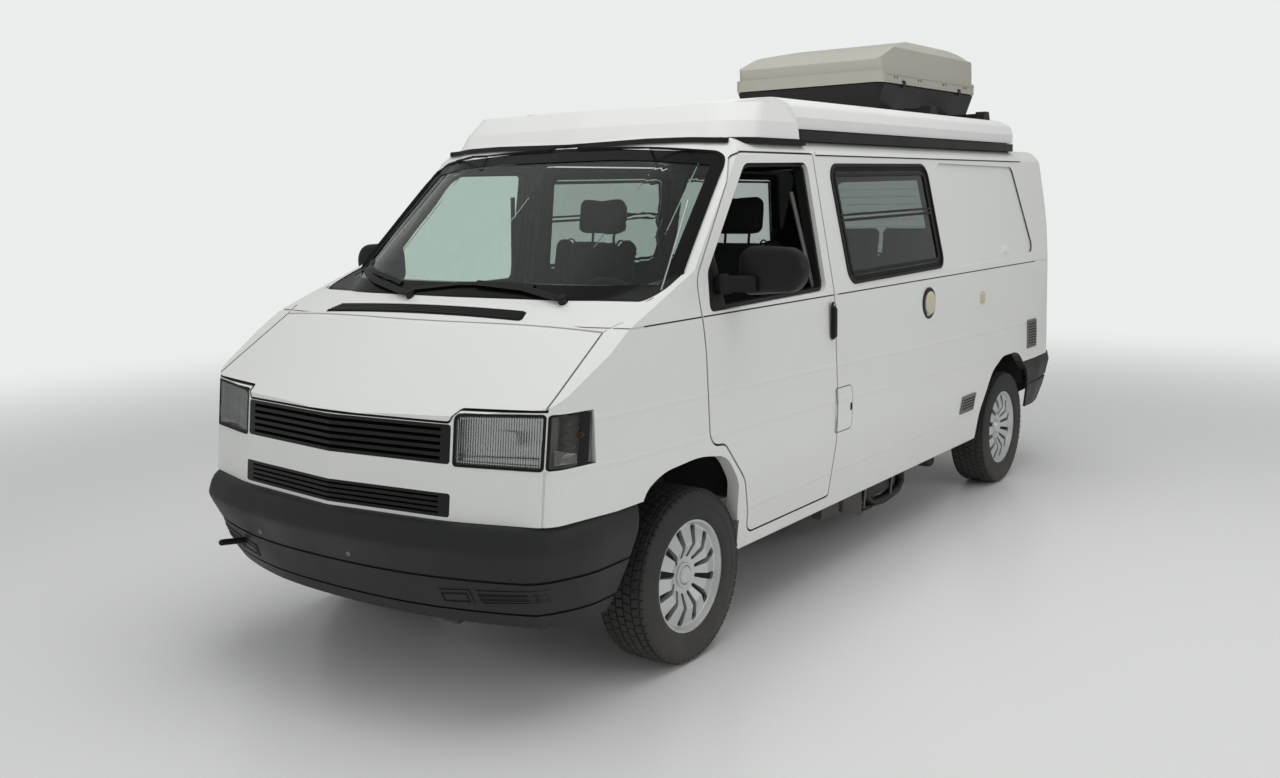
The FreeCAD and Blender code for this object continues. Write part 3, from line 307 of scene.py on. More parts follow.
def cloth_material(name, rgb, pitch):
    """Woven seat cloth with sheen, from two crossed waves."""
    material, tree, shader = blank_material(name)
    place = tree.nodes.new("ShaderNodeTexCoord").outputs["Object"]
    pattern = place_group(tree, "grain", Cloud_Scale=7.0, Grain_Scale=1400.0)
    warp = add_node(tree, "ShaderNodeTexWave", Vector=place, bands_direction="X", Scale=0.314 / pitch,
                    Distortion=0.6)
    weft = add_node(tree, "ShaderNodeTexWave", Vector=place, bands_direction="DIAGONAL", Scale=0.2 / pitch,
                    Distortion=0.6)
    weave = math_node(tree, "MULTIPLY", warp.outputs["Fac"], weft.outputs["Fac"])
    thread = math_node(tree, "ADD", weave, math_node(tree, "MULTIPLY", pattern.outputs["Grain"], 0.4))
    base = mixed(tree, weave, scaled(rgb, 0.7), scaled(rgb, 1.9))
    worn = mixed(tree, pattern.outputs["Cloud"], base, scaled(rgb, 1.3))
    bump = add_node(tree, "ShaderNodeBump", Strength=0.5, Distance=0.0008, Height=thread)
    tree.links.new(worn, shader.inputs["Base Color"])
    tree.links.new(bump.outputs[0], shader.inputs["Normal"])
    shader.inputs["Roughness"].default_value = 0.85
    shader.inputs["Sheen Weight"].default_value = 0.12
    return material


def wood_material(name, pale, dark):
    material, tree, shader = blank_material(name)
    place = tree.nodes.new("ShaderNodeTexCoord").outputs["Object"]
    stretched = add_node(tree, "ShaderNodeMapping", Vector=place, Scale=(6.0, 1.0, 6.0)).outputs[0]
    rings = add_node(tree, "ShaderNodeTexWave", Vector=stretched, bands_direction="Z", Scale=2.0,
                     Distortion=6.0, Detail=3.0)
    pattern = place_group(tree, "grain", Cloud_Scale=2.0, Grain_Scale=500.0)
    base = mixed(tree, rings.outputs["Fac"], pale, dark)
    tree.links.new(base, shader.inputs["Base Color"])
    bump = add_node(tree, "ShaderNodeBump", Strength=0.15, Distance=0.0005, Height=pattern.outputs["Grain"])
    tree.links.new(bump.outputs[0], shader.inputs["Normal"])
    shader.inputs["Roughness"].default_value = 0.45
    return material


finishes = {}


def made(kind, name, *values, **options):
    """Makes one finish and lists it under its name."""
    finishes[name] = kind(name, *values, **options)


class CAMPER_OT_finishes(bpy.types.Operator):
    """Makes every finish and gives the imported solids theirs"""

    bl_idname = "camper.finishes"
    bl_label = "Finishes"

    def execute(self, context):
        set_ = context.scene.camper_finish
        grain_group()
        dust_group()
        glass = tuple(set_.glass_tint)
        made(paint_material, "paint", tuple(set_.paint))
        made(surface, "roof_plastic", tuple(set_.roof), 0.42, cloud=3.0, grain=300.0, bump=0.08, coat=0.15,
             shift=0.015)
        made(surface, "bumper_plastic", tuple(set_.bumper), 0.55, spread=0.08, grain=1100.0, bump=0.5,
             dust=0.16, dust_height=0.7, shift=0.15, shine=0.4)
        made(surface, "black_plastic", (0.010, 0.010, 0.011), 0.42, grain=1300.0, bump=0.3, shift=0.12,
             shine=0.3)
        made(surface, "gloss_black", (0.006, 0.006, 0.007), 0.25, spread=0.03, grain=900.0, shift=0.1,
             shine=0.2)
        made(surface, "seal_rubber", (0.008, 0.008, 0.009), 0.6, grain=700.0, bump=0.25, shift=0.15,
             shine=0.25)
        made(clear, "screen_glass", glass, rough=0.0, smear=0.003, shine=0.2)
        made(clear, "tinted_glass", (0.43, 0.47, 0.455), rough=0.0, smear=0.003, shine=0.3)
        made(ribbed, "lamp_glass", (0.96, 0.98, 0.97), 0.0085)
        made(ribbed, "smoked_lens", (0.50, 0.50, 0.48), 0.016)
        made(ribbed, "red_lens", (0.55, 0.012, 0.012), 0.006)
        made(ribbed, "orange_lens", (0.85, 0.22, 0.02), 0.006)
        made(surface, "chassis_steel", (0.055, 0.052, 0.05), 0.55, metallic=0.5, grain=260.0, bump=0.4,
             dust=0.7, dust_height=0.8, shift=0.25)
        made(surface, "cast_metal", (0.22, 0.21, 0.20), 0.5, metallic=0.8, grain=340.0, bump=0.5, dust=0.5,
             dust_height=0.8, shift=0.2)
        made(surface, "underside", (0.05, 0.05, 0.05), 0.8, grain=220.0, bump=0.6, bump_reach=0.001, dust=0.5,
             dust_height=0.9, shift=0.2)
        made(surface, "cab_plastic", (0.035, 0.036, 0.037), 0.6, grain=1000.0, bump=0.45, shift=0.12)
        made(wood_material, "cabinet_wood", (0.52, 0.40, 0.27), (0.40, 0.29, 0.18))
        made(cloth_material, "seat_fabric", tuple(set_.seat), 0.0022)
        made(surface, "box_plastic", tuple(set_.lid), 0.42, cloud=2.0, grain=600.0, bump=0.25, shift=0.05)
        made(surface, "tyre", (0.017, 0.017, 0.018), 0.72, grain=420.0, bump=0.35, dust=0.35, dust_height=0.9,
             shift=0.2)
        made(surface, "wheel_silver", tuple(set_.cover), 0.34, metallic=0.55, grain=900.0, bump=0.05,
             coat=0.3, dust=0.25, dust_height=0.8, shift=0.04)
        made(surface, "chrome", (0.78, 0.78, 0.78), 0.12, metallic=1.0, grain=500.0, shift=0.02)
        made(surface, "mirror_glass", (0.85, 0.86, 0.87), 0.03, spread=0.01, metallic=1.0, shift=0.01)
        made(surface, "reflector", (0.80, 0.81, 0.80), 0.14, metallic=1.0, cloud=30.0, shift=0.06)
        made(surface, "grey_vent", (0.15, 0.15, 0.145), 0.5, grain=900.0, bump=0.3, shift=0.08)
        made(surface, "beige_vent", (0.60, 0.57, 0.44), 0.5, grain=900.0, bump=0.3, shift=0.05)
        made(surface, "turn_bowl", (0.16, 0.16, 0.155), 0.3, metallic=0.9, cloud=35.0, shift=0.5)
        # Near-black finish: on the fog slot floors, the cover slots and the vent plates it is painted shade
        made(surface, "wheel_dark", (0.006, 0.006, 0.006), 0.8, shift=0.1)
        for name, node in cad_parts.items():
            for slot in node.material_slots:
                key = slot.material.name.split(".")[0] if slot.material else ""
                if key in finishes:
                    slot.material = finishes[key]
                else:
                    raise RuntimeError("no finish for " + name + " " + key)
        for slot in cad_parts["box_base"].material_slots:
            slot.material = finishes["black_plastic"]
        return {"FINISHED"}


# Modelling helpers

def placed(origin, u, v, w):
    """Matrix that takes a flat drawing (u, v, w) to its place on the van."""
    return Matrix.Translation(Vector(origin)) @ Matrix((u, v, w)).transposed().to_4x4()


def on_side(x):
    """Drawing of (station, height) seen from the van's side, with depth outwards."""
    sign = 1 if x > 0 else -1
    return placed((x, 0, 0), Y, Z, (sign, 0, 0))


FLANK = {"left": placed((0, 0, 0), Y, Z, X), "right": placed((0, 0, 0), Y, Z, (-1, 0, 0))}


def on_front(y):
    """Drawing of (left, height) seen from the front, with depth forwards."""
    return placed((0, y, 0), X, Z, (0, -1, 0))


def on_back(y):
    """Drawing of (left, height) seen from behind, with depth backwards."""
    return placed((0, y, 0), X, Z, Y)


def on_plan(z):
    """Drawing of (left, station) seen from above, with depth upwards."""
    return placed((0, 0, z), X, Y, Z)


def outlined(corners, segments=6):
    """Flat face from (u, v, reach) corners, each rounded over its reach."""
    bm = bmesh.new()
    verts = [bm.verts.new((u, v, 0)) for u, v, _ in corners]
    bm.faces.new(verts)
    for vert, corner in zip(verts, corners):
        if corner[2]:
            bmesh.ops.bevel(bm, geom=[vert], offset=corner[2], segments=segments, profile=0.5,
                            affect="VERTICES", material=-1)
    return bm


def rect(u0, v0, u1, v1, reach):
    """Corners of an upright rectangle, all rounded alike."""
    return [(u0, v0, reach), (u1, v0, reach), (u1, v1, reach), (u0, v1, reach)]


def thicken(bm, depth):
    """Extrudes the drawing by a depth and closes it."""
    made = bmesh.ops.extrude_face_region(bm, geom=bm.faces[:])
    moved = [g for g in made["geom"] if isinstance(g, bmesh.types.BMVert)]
    bmesh.ops.translate(bm, verts=moved, vec=(0, 0, depth))
    bmesh.ops.recalc_face_normals(bm, faces=bm.faces[:])
    return bm


def slab(corners, depth, place, bevel=0.0, segments=6):
    """Rounded plate with its front edge broken."""
    bm = thicken(outlined(corners, segments), depth)
    if bevel:
        rim = [e for e in bm.edges if all(abs(v.co.z - depth) < 1e-6 for v in e.verts)]
        bmesh.ops.bevel(bm, geom=rim, offset=bevel, segments=3, profile=0.5, affect="EDGES", material=-1)
    bmesh.ops.transform(bm, matrix=place, verts=bm.verts[:])
    bmesh.ops.recalc_face_normals(bm, faces=bm.faces[:])
    return bm


def banded(corners, width, segments=6):
    """Flat ring between a rounded outline and the same outline drawn in."""
    bm = joined([outlined(corners, segments), outlined(grown(corners, width), segments)])
    bmesh.ops.delete(bm, geom=bm.faces[:], context="FACES_ONLY")
    bmesh.ops.bridge_loops(bm, edges=bm.edges[:])
    return bm


def refine(bm, longest):
    """Cuts long edges so that a drawing can follow a curved panel."""
    for _ in range(8):
        edges = [e for e in bm.edges if e.calc_length() > longest]
        if not edges:
            break
        bmesh.ops.subdivide_edges(bm, edges=edges, cuts=1, use_grid_fill=True)


def skin_of(*names):
    """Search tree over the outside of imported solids, or of pieces made before."""
    verts = []
    faces = []
    for name in names:
        mesh = (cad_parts.get(name) or bpy.data.objects[name]).data
        start = len(verts)
        verts.extend(v.co.copy() for v in mesh.vertices)
        faces.extend([start + i for i in p.vertices] for p in mesh.polygons)
    return BVHTree.FromPolygons(verts, faces)


def lay_on(bm, skin, direction, lift=0.0):
    """Drops each point of a middle-plane drawing onto a skin along a direction.

    Each point keeps its own height above the plane.
    A point beside the skin carries on the slope of the landed points nearest to it."""
    run = Vector(direction)
    landed = []
    missed = []
    for vert in bm.verts:
        height = -vert.co.dot(run)
        flat = vert.co + run * height
        hit = skin.ray_cast(flat + FRONT_AXLE - run * 8, run)[0]
        if hit is None:
            missed.append((vert, flat, height))
            continue
        depth = (hit - FRONT_AXLE).dot(run)
        landed.append((flat, depth))
        vert.co = flat + run * (depth - lift - height)
    for vert, flat, height in missed:
        near, depth = min(landed, key=lambda spot: (spot[0] - flat).length_squared)
        gap = near - flat
        beyond = [spot for spot in landed if 0.02 < (spot[0] - near).length < 0.08]
        if beyond and gap.length > 1e-4:
            far, far_depth = max(beyond, key=lambda spot: (spot[0] - near).normalized().dot(gap))
            depth += (depth - far_depth) * gap.length / (near - far).length
        vert.co = flat + run * (depth - lift - height)
    return bm


def foil(bm, thickness, direction):
    """Gives a laid drawing its thickness, outwards against the direction that it was laid along."""
    made = bmesh.ops.extrude_face_region(bm, geom=bm.faces[:])
    moved = [g for g in made["geom"] if isinstance(g, bmesh.types.BMVert)]
    bmesh.ops.translate(bm, verts=moved, vec=Vector(direction) * -thickness)
    bmesh.ops.recalc_face_normals(bm, faces=bm.faces[:])
    return bm


def rod(points, radius, sides=12):
    """Round bar through points, each joint shared."""
    bm = bmesh.new()
    for start, end in zip(points, points[1:]):
        a = Vector(start)
        run = Vector(end) - a
        turn = run.to_track_quat("Z", "Y").to_matrix().to_4x4()
        place = Matrix.Translation(a + run / 2) @ turn
        bmesh.ops.create_cone(bm, cap_ends=True, segments=sides, radius1=radius, radius2=radius,
                              depth=run.length, matrix=place)
    for point in points[1:-1]:
        bmesh.ops.create_uvsphere(bm, u_segments=sides, v_segments=sides // 2, radius=radius,
                                  matrix=Matrix.Translation(Vector(point)))
    return bm


def disc(radius, depth, place, bevel=0.0, segments=40, inner=0.0):
    """Turned disc or ring with its front edge broken."""
    bm = bmesh.new()
    r = radius
    b = bevel
    profile = [(inner, 0.0), (inner, depth), (r - b, depth), (r, depth - b), (r, 0.0)]
    verts = [bm.verts.new((u, 0, w)) for u, w in profile]
    edges = [bm.edges.new(pair) for pair in zip(verts, verts[1:] + verts[:1])]
    bmesh.ops.spin(bm, geom=verts + edges, cent=(0, 0, 0), axis=(0, 0, 1), angle=2 * math.pi, steps=segments,
                   use_merge=True)
    bmesh.ops.remove_doubles(bm, verts=bm.verts[:], dist=1e-6)
    bmesh.ops.transform(bm, matrix=place, verts=bm.verts[:])
    bmesh.ops.recalc_face_normals(bm, faces=bm.faces[:])
    return bm


def joined(parts):
    """One mesh out of several drawings."""
    whole = bmesh.new()
    for bm in parts:
        mesh = bpy.data.meshes.new("part")
        bm.to_mesh(mesh)
        bm.free()
        whole.from_mesh(mesh)
        bpy.data.meshes.remove(mesh)
    return whole


def flipped(bm):
    """Mirror image across the van's middle, as a new drawing."""
    copy = bm.copy()
    bmesh.ops.scale(copy, vec=(-1, 1, 1), verts=copy.verts[:])
    bmesh.ops.reverse_faces(copy, faces=copy.faces[:])
    return copy


def handed(sign, bm):
    """The left drawing for sign 1, or its mirror image for -1."""
    return bm if sign > 0 else flipped(bm)


def piece(name, bm, finish, body, stands_for=(), angle=32):
    """Finishes a drawing as an object at the origin that rides on a body."""
    bmesh.ops.translate(bm, vec=FRONT_AXLE, verts=bm.verts[:])
    mesh = bpy.data.meshes.new(name)
    bm.to_mesh(mesh)
    bm.free()
    mesh.shade_smooth()
    mesh.set_sharp_from_angle(angle=math.radians(angle))
    mesh.materials.append(finishes[finish])
    thing = bpy.data.objects.new(name, mesh)
    bpy.context.collection.objects.link(thing)
    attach(thing, body)
    if stands_for:
        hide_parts(*stands_for)
    return thing


# Outlines on the body as (station or x, height, reach), the same as the solids' openings

SCREEN_EDGE = [(-0.860, 1.346, 0.045), (0.860, 1.346, 0.045), (0.768, 1.866, 0.06), (0.40, 1.903, 0.2),
               (-0.40, 1.903, 0.2), (-0.768, 1.866, 0.06)]
MIDDLE_WINDOW = [(1.261, 1.304, 0.07), (2.342, 1.316, 0.07), (2.290, 1.838, 0.07), (1.225, 1.830, 0.07)]
REAR_WINDOW = [(2.377, 1.302, 0.05), (3.736, 1.333, 0.05), (3.554, 1.830, 0.05), (2.429, 1.843, 0.05)]
DOOR_WINDOW = [(0.127, DOOR_SILL, 0.025), (1.042, 1.297, 0.04), (1.037, 1.832, 0.04), (0.531, 1.825, 0.07),
               (0.152, 1.430, 0.06)]
TAIL_WINDOW = [(-0.650, 1.250, 0.07), (0.650, 1.250, 0.07), (0.620, 1.800, 0.07), (-0.620, 1.800, 0.07)]
HEADLAMP = [(0.531, 0.862, 0.012), (0.836, 0.860, 0.012), (0.838, 1.038, 0.012), (0.531, 1.030, 0.025)]
TURN_LAMP = [(0.842, 0.861, 0.012), (0.893, 0.861, 0.006), (0.893, 1.033, 0.006), (0.844, 1.038, 0.012)]
REAR_LAMP = [(0.800, 0.760, 0.015), (0.896, 0.760, 0.006), (0.896, 1.120, 0.006), (0.800, 1.120, 0.015)]


def grown(corners, amount):
    """Outline drawn in (or out, when negative) by moving each corner along its bisector."""
    n = len(corners)
    moved = []
    for i, (u, v, reach) in enumerate(corners):
        here = Vector((u, v))
        a = (Vector(corners[i - 1][:2]) - here).normalized()
        b = (Vector(corners[(i + 1) % n][:2]) - here).normalized()
        half = a.angle(b) / 2
        step = (a + b).normalized() * amount / math.sin(half)
        moved.append((u + step.x, v + step.y, max(0.0008, reach - amount)))
    return moved


# Directions that drawings are laid from, each as the drawing's place and the way it drops

VIEWS = {"front": (on_front(0), Y), "back": (on_back(0), (0, -1, 0)), "top": (on_plan(0), (0, 0, -1)),
         "left": (FLANK["left"], (-1, 0, 0)), "right": (FLANK["right"], (1, 0, 0))}


class Panel:
    """Curved outside of some pieces, as seen from one view, on which thin drawings are laid."""

    def __init__(self, view, *names):
        self.place, self.drop = VIEWS[view]
        self.skin = skin_of(*names)

    def laid(self, bm, lift, thickness):
        """Drops a placed drawing onto the panel and gives it its thickness."""
        return foil(lay_on(bm, self.skin, self.drop, lift), thickness, self.drop)

    def hit(self, start):
        """Place on the panel under a point, in stations."""
        return self.skin.ray_cast(Vector(start) + FRONT_AXLE, Vector(self.drop))[0] - FRONT_AXLE

    def band(self, corners, width, lift, thickness, longest=0.05):
        """Thin strip that follows an outline."""
        bm = banded(corners, width)
        bmesh.ops.transform(bm, matrix=self.place, verts=bm.verts[:])
        refine(bm, longest)
        return self.laid(bm, lift, thickness)

    def plate(self, corners, lift, thickness, longest=0.03, segments=6):
        """Thin plate with an outline."""
        bm = outlined(corners, segments)
        bmesh.ops.triangulate(bm, faces=bm.faces[:])
        bmesh.ops.transform(bm, matrix=self.place, verts=bm.verts[:])
        for _ in range(7):
            edges = [e for e in bm.edges if e.calc_length() > longest]
            if not edges:
                break
            bmesh.ops.subdivide_edges(bm, edges=edges, cuts=1)
            bmesh.ops.triangulate(bm, faces=bm.faces[:])
        return self.laid(bm, lift, thickness)

    def strip(self, points, width, lift, thickness):
        """Narrow strip along an open line of (u, v) points."""
        bm = bmesh.new()
        rows = []
        for i, point in enumerate(points):
            here = Vector(point)
            run = (Vector(points[min(i + 1, len(points) - 1)]) - Vector(points[max(i - 1, 0)])).normalized()
            across = Vector((-run.y, run.x)) * width / 2
            rows.append([bm.verts.new((*(here + across), 0)), bm.verts.new((*(here - across), 0))])
        for a, b in zip(rows, rows[1:]):
            bm.faces.new((a[0], a[1], b[1], b[0]))
        bmesh.ops.transform(bm, matrix=self.place, verts=bm.verts[:])
        refine(bm, 0.05)
        return self.laid(bm, lift, thickness)


def around(bm, centre, axis, count, turn=0.0):
    """Repeats a drawing round an axis."""
    bmesh.ops.rotate(bm, cent=centre, matrix=Matrix.Rotation(turn, 3, axis), verts=bm.verts[:])
    bmesh.ops.spin(bm, geom=bm.verts[:] + bm.edges[:] + bm.faces[:], cent=centre, axis=axis,
                   angle=2 * math.pi * (count - 1) / count, steps=count - 1, use_duplicate=True)
    return bm


def block(low, high, bevel=0.0, segments=2):
    """Box between two corners with broken edges."""
    bm = bmesh.new()
    a = Vector(low)
    b = Vector(high)
    size = b - a
    bmesh.ops.create_cube(bm, size=1, matrix=Matrix.Translation((a + b) / 2) @ Matrix.Diagonal((*size, 1)))
    if bevel:
        bmesh.ops.bevel(bm, geom=bm.edges[:], offset=bevel, segments=segments, profile=0.5, affect="EDGES",
                        material=-1)
    return bm


class CAMPER_OT_rubbers(bpy.types.Operator):
    """Adds the rubbers, frames and bars round the glass"""

    bl_idname = "camper.rubbers"
    bl_label = "Window Rubbers"

    def execute(self, context):
        sizes = context.scene.camper_sizes
        screen = Panel("front", "windscreen")
        border = screen.band(SCREEN_EDGE, sizes.rubber, 0.0025, 0.002, 0.025)
        piece("screen_border", border, "gloss_black", "body")
        lip = screen.band(grown(SCREEN_EDGE, -0.004), 0.010, 0.0012, 0.005)
        piece("screen_rubber", lip, "seal_rubber", "body")
        walls = ("window_frames", "side_glass", "body_shell", "sliding_door")
        flanks = {name: Panel(name, *walls) for name in SIDES}
        for name, flank in flanks.items():
            frame_band = flank.band(grown(MIDDLE_WINDOW, 0.002), 0.012, 0.001, 0.005)
            inner = flank.band(grown(MIDDLE_WINDOW, 0.040), 0.016, 0.001, 0.005)
            low = flank.plate([(1.300, 1.346, 0.05), (2.300, 1.357, 0.05), (2.290, 1.372, 0.004),
                               (1.300, 1.362, 0.004)], 0.001, 0.005)
            bars = [flank.strip([(1.262, 1.606 - dz), (2.27, 1.617 - dz)], w, 0.0015, 0.006)
                    for dz, w in ((0.0, 0.010), (0.022, 0.012))]
            piece("middle_window_frame_" + name, joined([frame_band, inner, low] + bars), "black_plastic",
                  "body")
        rear = flanks["right"].band(grown(REAR_WINDOW, 0.002), 0.012, 0.001, 0.005)
        inner = flanks["right"].band(grown(REAR_WINDOW, 0.040), 0.014, 0.001, 0.005)
        piece("rear_window_frame", joined([rear, inner]), "black_plastic", "body")
        tail = Panel("back", "tailgate", "tailgate_glass")
        edge = tail.band(grown(TAIL_WINDOW, -0.010), 0.036, 0.001, 0.004)
        piece("tail_window_rubber", edge, "seal_rubber", "tail_door")
        for name, sign in SIDES.items():
            body = name + "_door"
            rim = banded(grown(DOOR_WINDOW, 0.001), 0.014)
            thicken(rim, 0.042)
            bmesh.ops.transform(rim, matrix=FLANK[name], verts=rim.verts[:])
            for vert in rim.verts:
                vert.co.x = vert.co.x + sign * (0.840 - (vert.co.z - DOOR_SILL) * DOOR_LEAN)
            bmesh.ops.recalc_face_normals(rim, faces=rim.faces[:])
            piece("door_window_run_" + name, rim, "black_plastic", body)
            channel = slab([(0.942, 1.712, 0.002), (0.966, 1.712, 0.002), (1.030, 1.306, 0.002),
                            (1.004, 1.306, 0.002)], 0.008, on_side(0.8467), 0.002)
            for vert in channel.verts:
                vert.co.x -= (vert.co.z - DOOR_SILL) * DOOR_LEAN
            piece("glass_channel_" + name, handed(sign, channel), "cast_metal", body)
        return {"FINISHED"}


class CAMPER_OT_side_trim(bpy.types.Operator):
    """Adds drip lines, vents, filler cap and clips on the flanks"""

    bl_idname = "camper.side_trim"
    bl_label = "Side Trim"

    def execute(self, context):
        walls = ("body_shell", "sliding_door", "window_frames", "roof_cap")
        flanks = {name: Panel(name, *walls) for name in SIDES}
        for name, flank in flanks.items():
            gutter = flank.strip([(1.125, 1.872), (3.72, 1.872)], 0.012, 0.0, 0.006)
            piece("drip_rail_" + name, gutter, "paint", "body")
            joint = flank.strip([(1.125, 1.8625), (3.72, 1.8625)], 0.004, 0.0005, 0.0015)
            piece("drip_joint_" + name, joint, "seal_rubber", "body")
            doors = Panel(name, "door_" + name, "body_shell", "sliding_door")
            for part, start, end, rides in (("wing", -0.28, 0.074, "body"),
                                            ("door", 0.084, 1.100, name + "_door"),
                                            ("side", 1.110, 3.74, "body")):
                line = doors.strip([(start, 1.2735), (end, 1.2735)], 0.0055, -0.0010, 0.0012)
                piece("belt_line_" + part + "_" + name, line, "seal_rubber", rides)
        flank = flanks["left"]
        flap = [(1.089, 0.675, 0.012), (1.250, 0.675, 0.030), (1.250, 0.870, 0.030), (1.089, 0.870, 0.012)]
        groove = flank.band(grown(flap, -0.001), 0.004, -0.0015, 0.0018)
        piece("fuel_flap_gap", groove, "grey_vent", "body")
        face = placed(flank.hit((2, 2.115, 1.155)), Y, Z, X)
        well = disc(0.078, 0.006, face, 0.003, inner=0.064)
        cup = disc(0.064, 0.002, face, 0.0)
        piece("filler_ring", joined([well, cup]), "black_plastic", "body")
        lid = disc(0.058, 0.012, face @ Matrix.Translation((0.006, 0, 0.001)), 0.005)
        grip = slab(rect(-0.010, -0.046, 0.010, 0.046, 0.006), 0.018, face, 0.005)
        piece("filler_lid", joined([lid, grip]), "beige_vent", "body")
        hatch = [(2.818, 1.094, 0.006), (2.868, 1.094, 0.006), (2.868, 1.162, 0.024), (2.818, 1.162, 0.024)]
        plate = flank.plate(hatch, 0.0, 0.008)
        cover = flank.plate(grown(hatch, 0.008), 0.006, 0.008)
        piece("power_inlet", joined([plate, cover]), "beige_vent", "body")
        fridge = [(3.576, 0.764, 0.006), (3.730, 0.764, 0.006), (3.730, 0.932, 0.012), (3.576, 0.932, 0.012)]
        rim = flank.band(fridge, 0.012, 0.0, 0.008)
        slats = [flank.strip([(3.592, z), (3.714, z)], 0.008, 0.001, 0.006)
                 for z in (0.784, 0.800, 0.816, 0.832, 0.848, 0.864, 0.880, 0.896, 0.912)]
        piece("fridge_vent", joined([rim] + slats), "grey_vent", "body")
        # Near-black plate under the slats: painted shade of the vent's openings
        piece("fridge_vent_shade", flank.plate(grown(fridge, 0.010), 0.0, 0.0015), "wheel_dark", "body")
        heater = rect(2.582, 0.518, 2.770, 0.614, 0.004)
        rim = flank.band(heater, 0.012, 0.0, 0.007)
        slats = [flank.strip([(2.596, z), (2.756, z)], 0.008, 0.001, 0.005)
                 for z in (0.536, 0.552, 0.568, 0.584, 0.600)]
        piece("heater_vent", joined([rim] + slats), "grey_vent", "body")
        # Near-black plate under the slats: painted shade of the vent's openings
        piece("heater_vent_shade", flank.plate(grown(heater, 0.010), 0.0, 0.0015), "wheel_dark", "body")
        clip = flank.plate([(3.255, 1.352, 0.004), (3.298, 1.352, 0.004), (3.290, 1.388, 0.006),
                            (3.262, 1.388, 0.006)], 0.0, 0.012)
        piece("awning_clip", clip, "roof_plastic", "body")
        notch = flank.plate(rect(1.228, 0.755, 1.246, 0.790, 0.008), 0.0, 0.001)
        piece("fuel_flap_notch", notch, "seal_rubber", "body")
        step = slab([(1.370, 0.190, 0.006), (1.548, 0.178, 0.006), (1.548, 0.400, 0.004),
                     (1.372, 0.400, 0.004)], 0.05, on_side(0.655), 0.004)
        guard = slab([(1.590, 0.182, 0.006), (1.786, 0.122, 0.010), (1.800, 0.130, 0.004),
                      (1.800, 0.400, 0.004), (1.600, 0.400, 0.004)], 0.09, on_side(0.615), 0.004)
        piece("sill_brackets", joined([step, guard]), "underside", "body")
        heater_box = slab([(1.860, 0.172, 0.03), (2.230, 0.178, 0.03), (2.250, 0.400, 0.01),
                           (1.850, 0.400, 0.01)], 0.10, on_side(0.590), 0.012)
        can = slab([(2.600, 0.240, 0.030), (2.690, 0.178, 0.035), (2.738, 0.200, 0.030),
                    (2.735, 0.330, 0.030), (2.610, 0.330, 0.030)], 0.07, on_side(0.630), 0.02)
        hoses = rod([(0.665, 1.900, 0.190), (0.672, 1.960, 0.140), (0.672, 2.110, 0.132),
                     (0.672, 2.270, 0.150), (0.668, 2.330, 0.185), (0.660, 2.330, 0.330)], 0.026, 16)
        hanger = rod([(0.660, 2.650, 0.300), (0.660, 2.655, 0.400)], 0.014, 14)
        piece("heater_unit", joined([heater_box, can, hoses, hanger]), "black_plastic", "body")
        feet = [slab([(y, 0.128, 0.003), (y + 0.085, 0.124, 0.010), (y + 0.085, 0.134, 0.003),
                      (y, 0.138, 0.003)], 0.075, on_side(0.635), 0.002) for y in (1.796, 1.905)]
        straps = [rod([(0.690, y, 0.390), (0.697, y + 0.01, 0.250), (0.690, y + 0.004, 0.140)], 0.006, 10)
                  for y in (1.845, 2.160)]
        piece("heater_straps", joined(feet + straps), "cast_metal", "body")
        return {"FINISHED"}


class CAMPER_OT_mirrors(bpy.types.Operator):
    """Makes the door mirrors, their feet and the door handles"""

    bl_idname = "camper.mirrors"
    bl_label = "Mirrors and Handles"

    def execute(self, context):
        shell = [(0.910, 1.332, 0.055), (1.183, 1.354, 0.065), (1.186, 1.508, 0.075), (0.915, 1.522, 0.065)]
        for name, sign in SIDES.items():
            rides = name + "_door"
            housing = slab(shell, 0.056, on_front(0.345), 0.026, 8)
            rim = slab(shell, -0.003, on_front(0.345), 0.0)
            piece("mirror_housing_" + name, handed(sign, joined([housing, rim])), "black_plastic", rides,
                  angle=50, stands_for=("door_" + name + "_trim",))
            glass = slab(grown(shell, 0.010), 0.002, on_back(0.3455), 0.001)
            piece("mirror_glass_" + name, handed(sign, glass), "mirror_glass", rides)
            arm = slab([(0.868, 0.196, 0.010), (0.900, 0.200, 0.015), (1.010, 0.268, 0.020),
                        (1.000, 0.316, 0.015), (0.975, 0.318, 0.020), (0.900, 0.262, 0.020),
                        (0.868, 0.252, 0.006)], 0.060, on_plan(1.352), 0.016)
            knuckle = disc(0.030, 0.074, placed((0.893, 0.228, 1.345), X, Y, Z), 0.012, 32)
            leaning = placed((0.882, 0, DOOR_SILL), Y, (-DOOR_LEAN, 0, 1), X)
            quarter = slab([(0.130, 0.004, 0.012), (0.262, 0.004, 0.010), (0.236, 0.235, 0.030),
                            (0.166, 0.155, 0.030)], 0.010, leaning @ Matrix.Translation((0, 0, -0.006)),
                           0.003)
            screws = [disc(0.006, 0.004, leaning @ Matrix.Translation((u, v, 0.004)), 0.001, 16)
                      for u, v in ((0.176, 0.040), (0.190, 0.120))]
            piece("mirror_arm_" + name, handed(sign, joined([arm, knuckle, quarter] + screws)),
                  "black_plastic", rides, angle=50)
            recess = slab(rect(1.048, 1.086, 1.086, 1.247, 0.018), 0.006, on_side(0.914), 0.002, 8)
            lever = slab(rect(1.054, 1.094, 1.080, 1.225, 0.012), 0.018, on_side(0.914), 0.007, 8)
            lock = disc(0.007, 0.009, placed((0.914, 1.067, 1.236), Y, Z, X), 0.001, 20)
            piece("door_handle_" + name, handed(sign, joined([recess, lever])), "black_plastic", rides,
                  angle=50)
            piece("door_lock_" + name, handed(sign, lock), "chrome", rides)
        return {"FINISHED"}


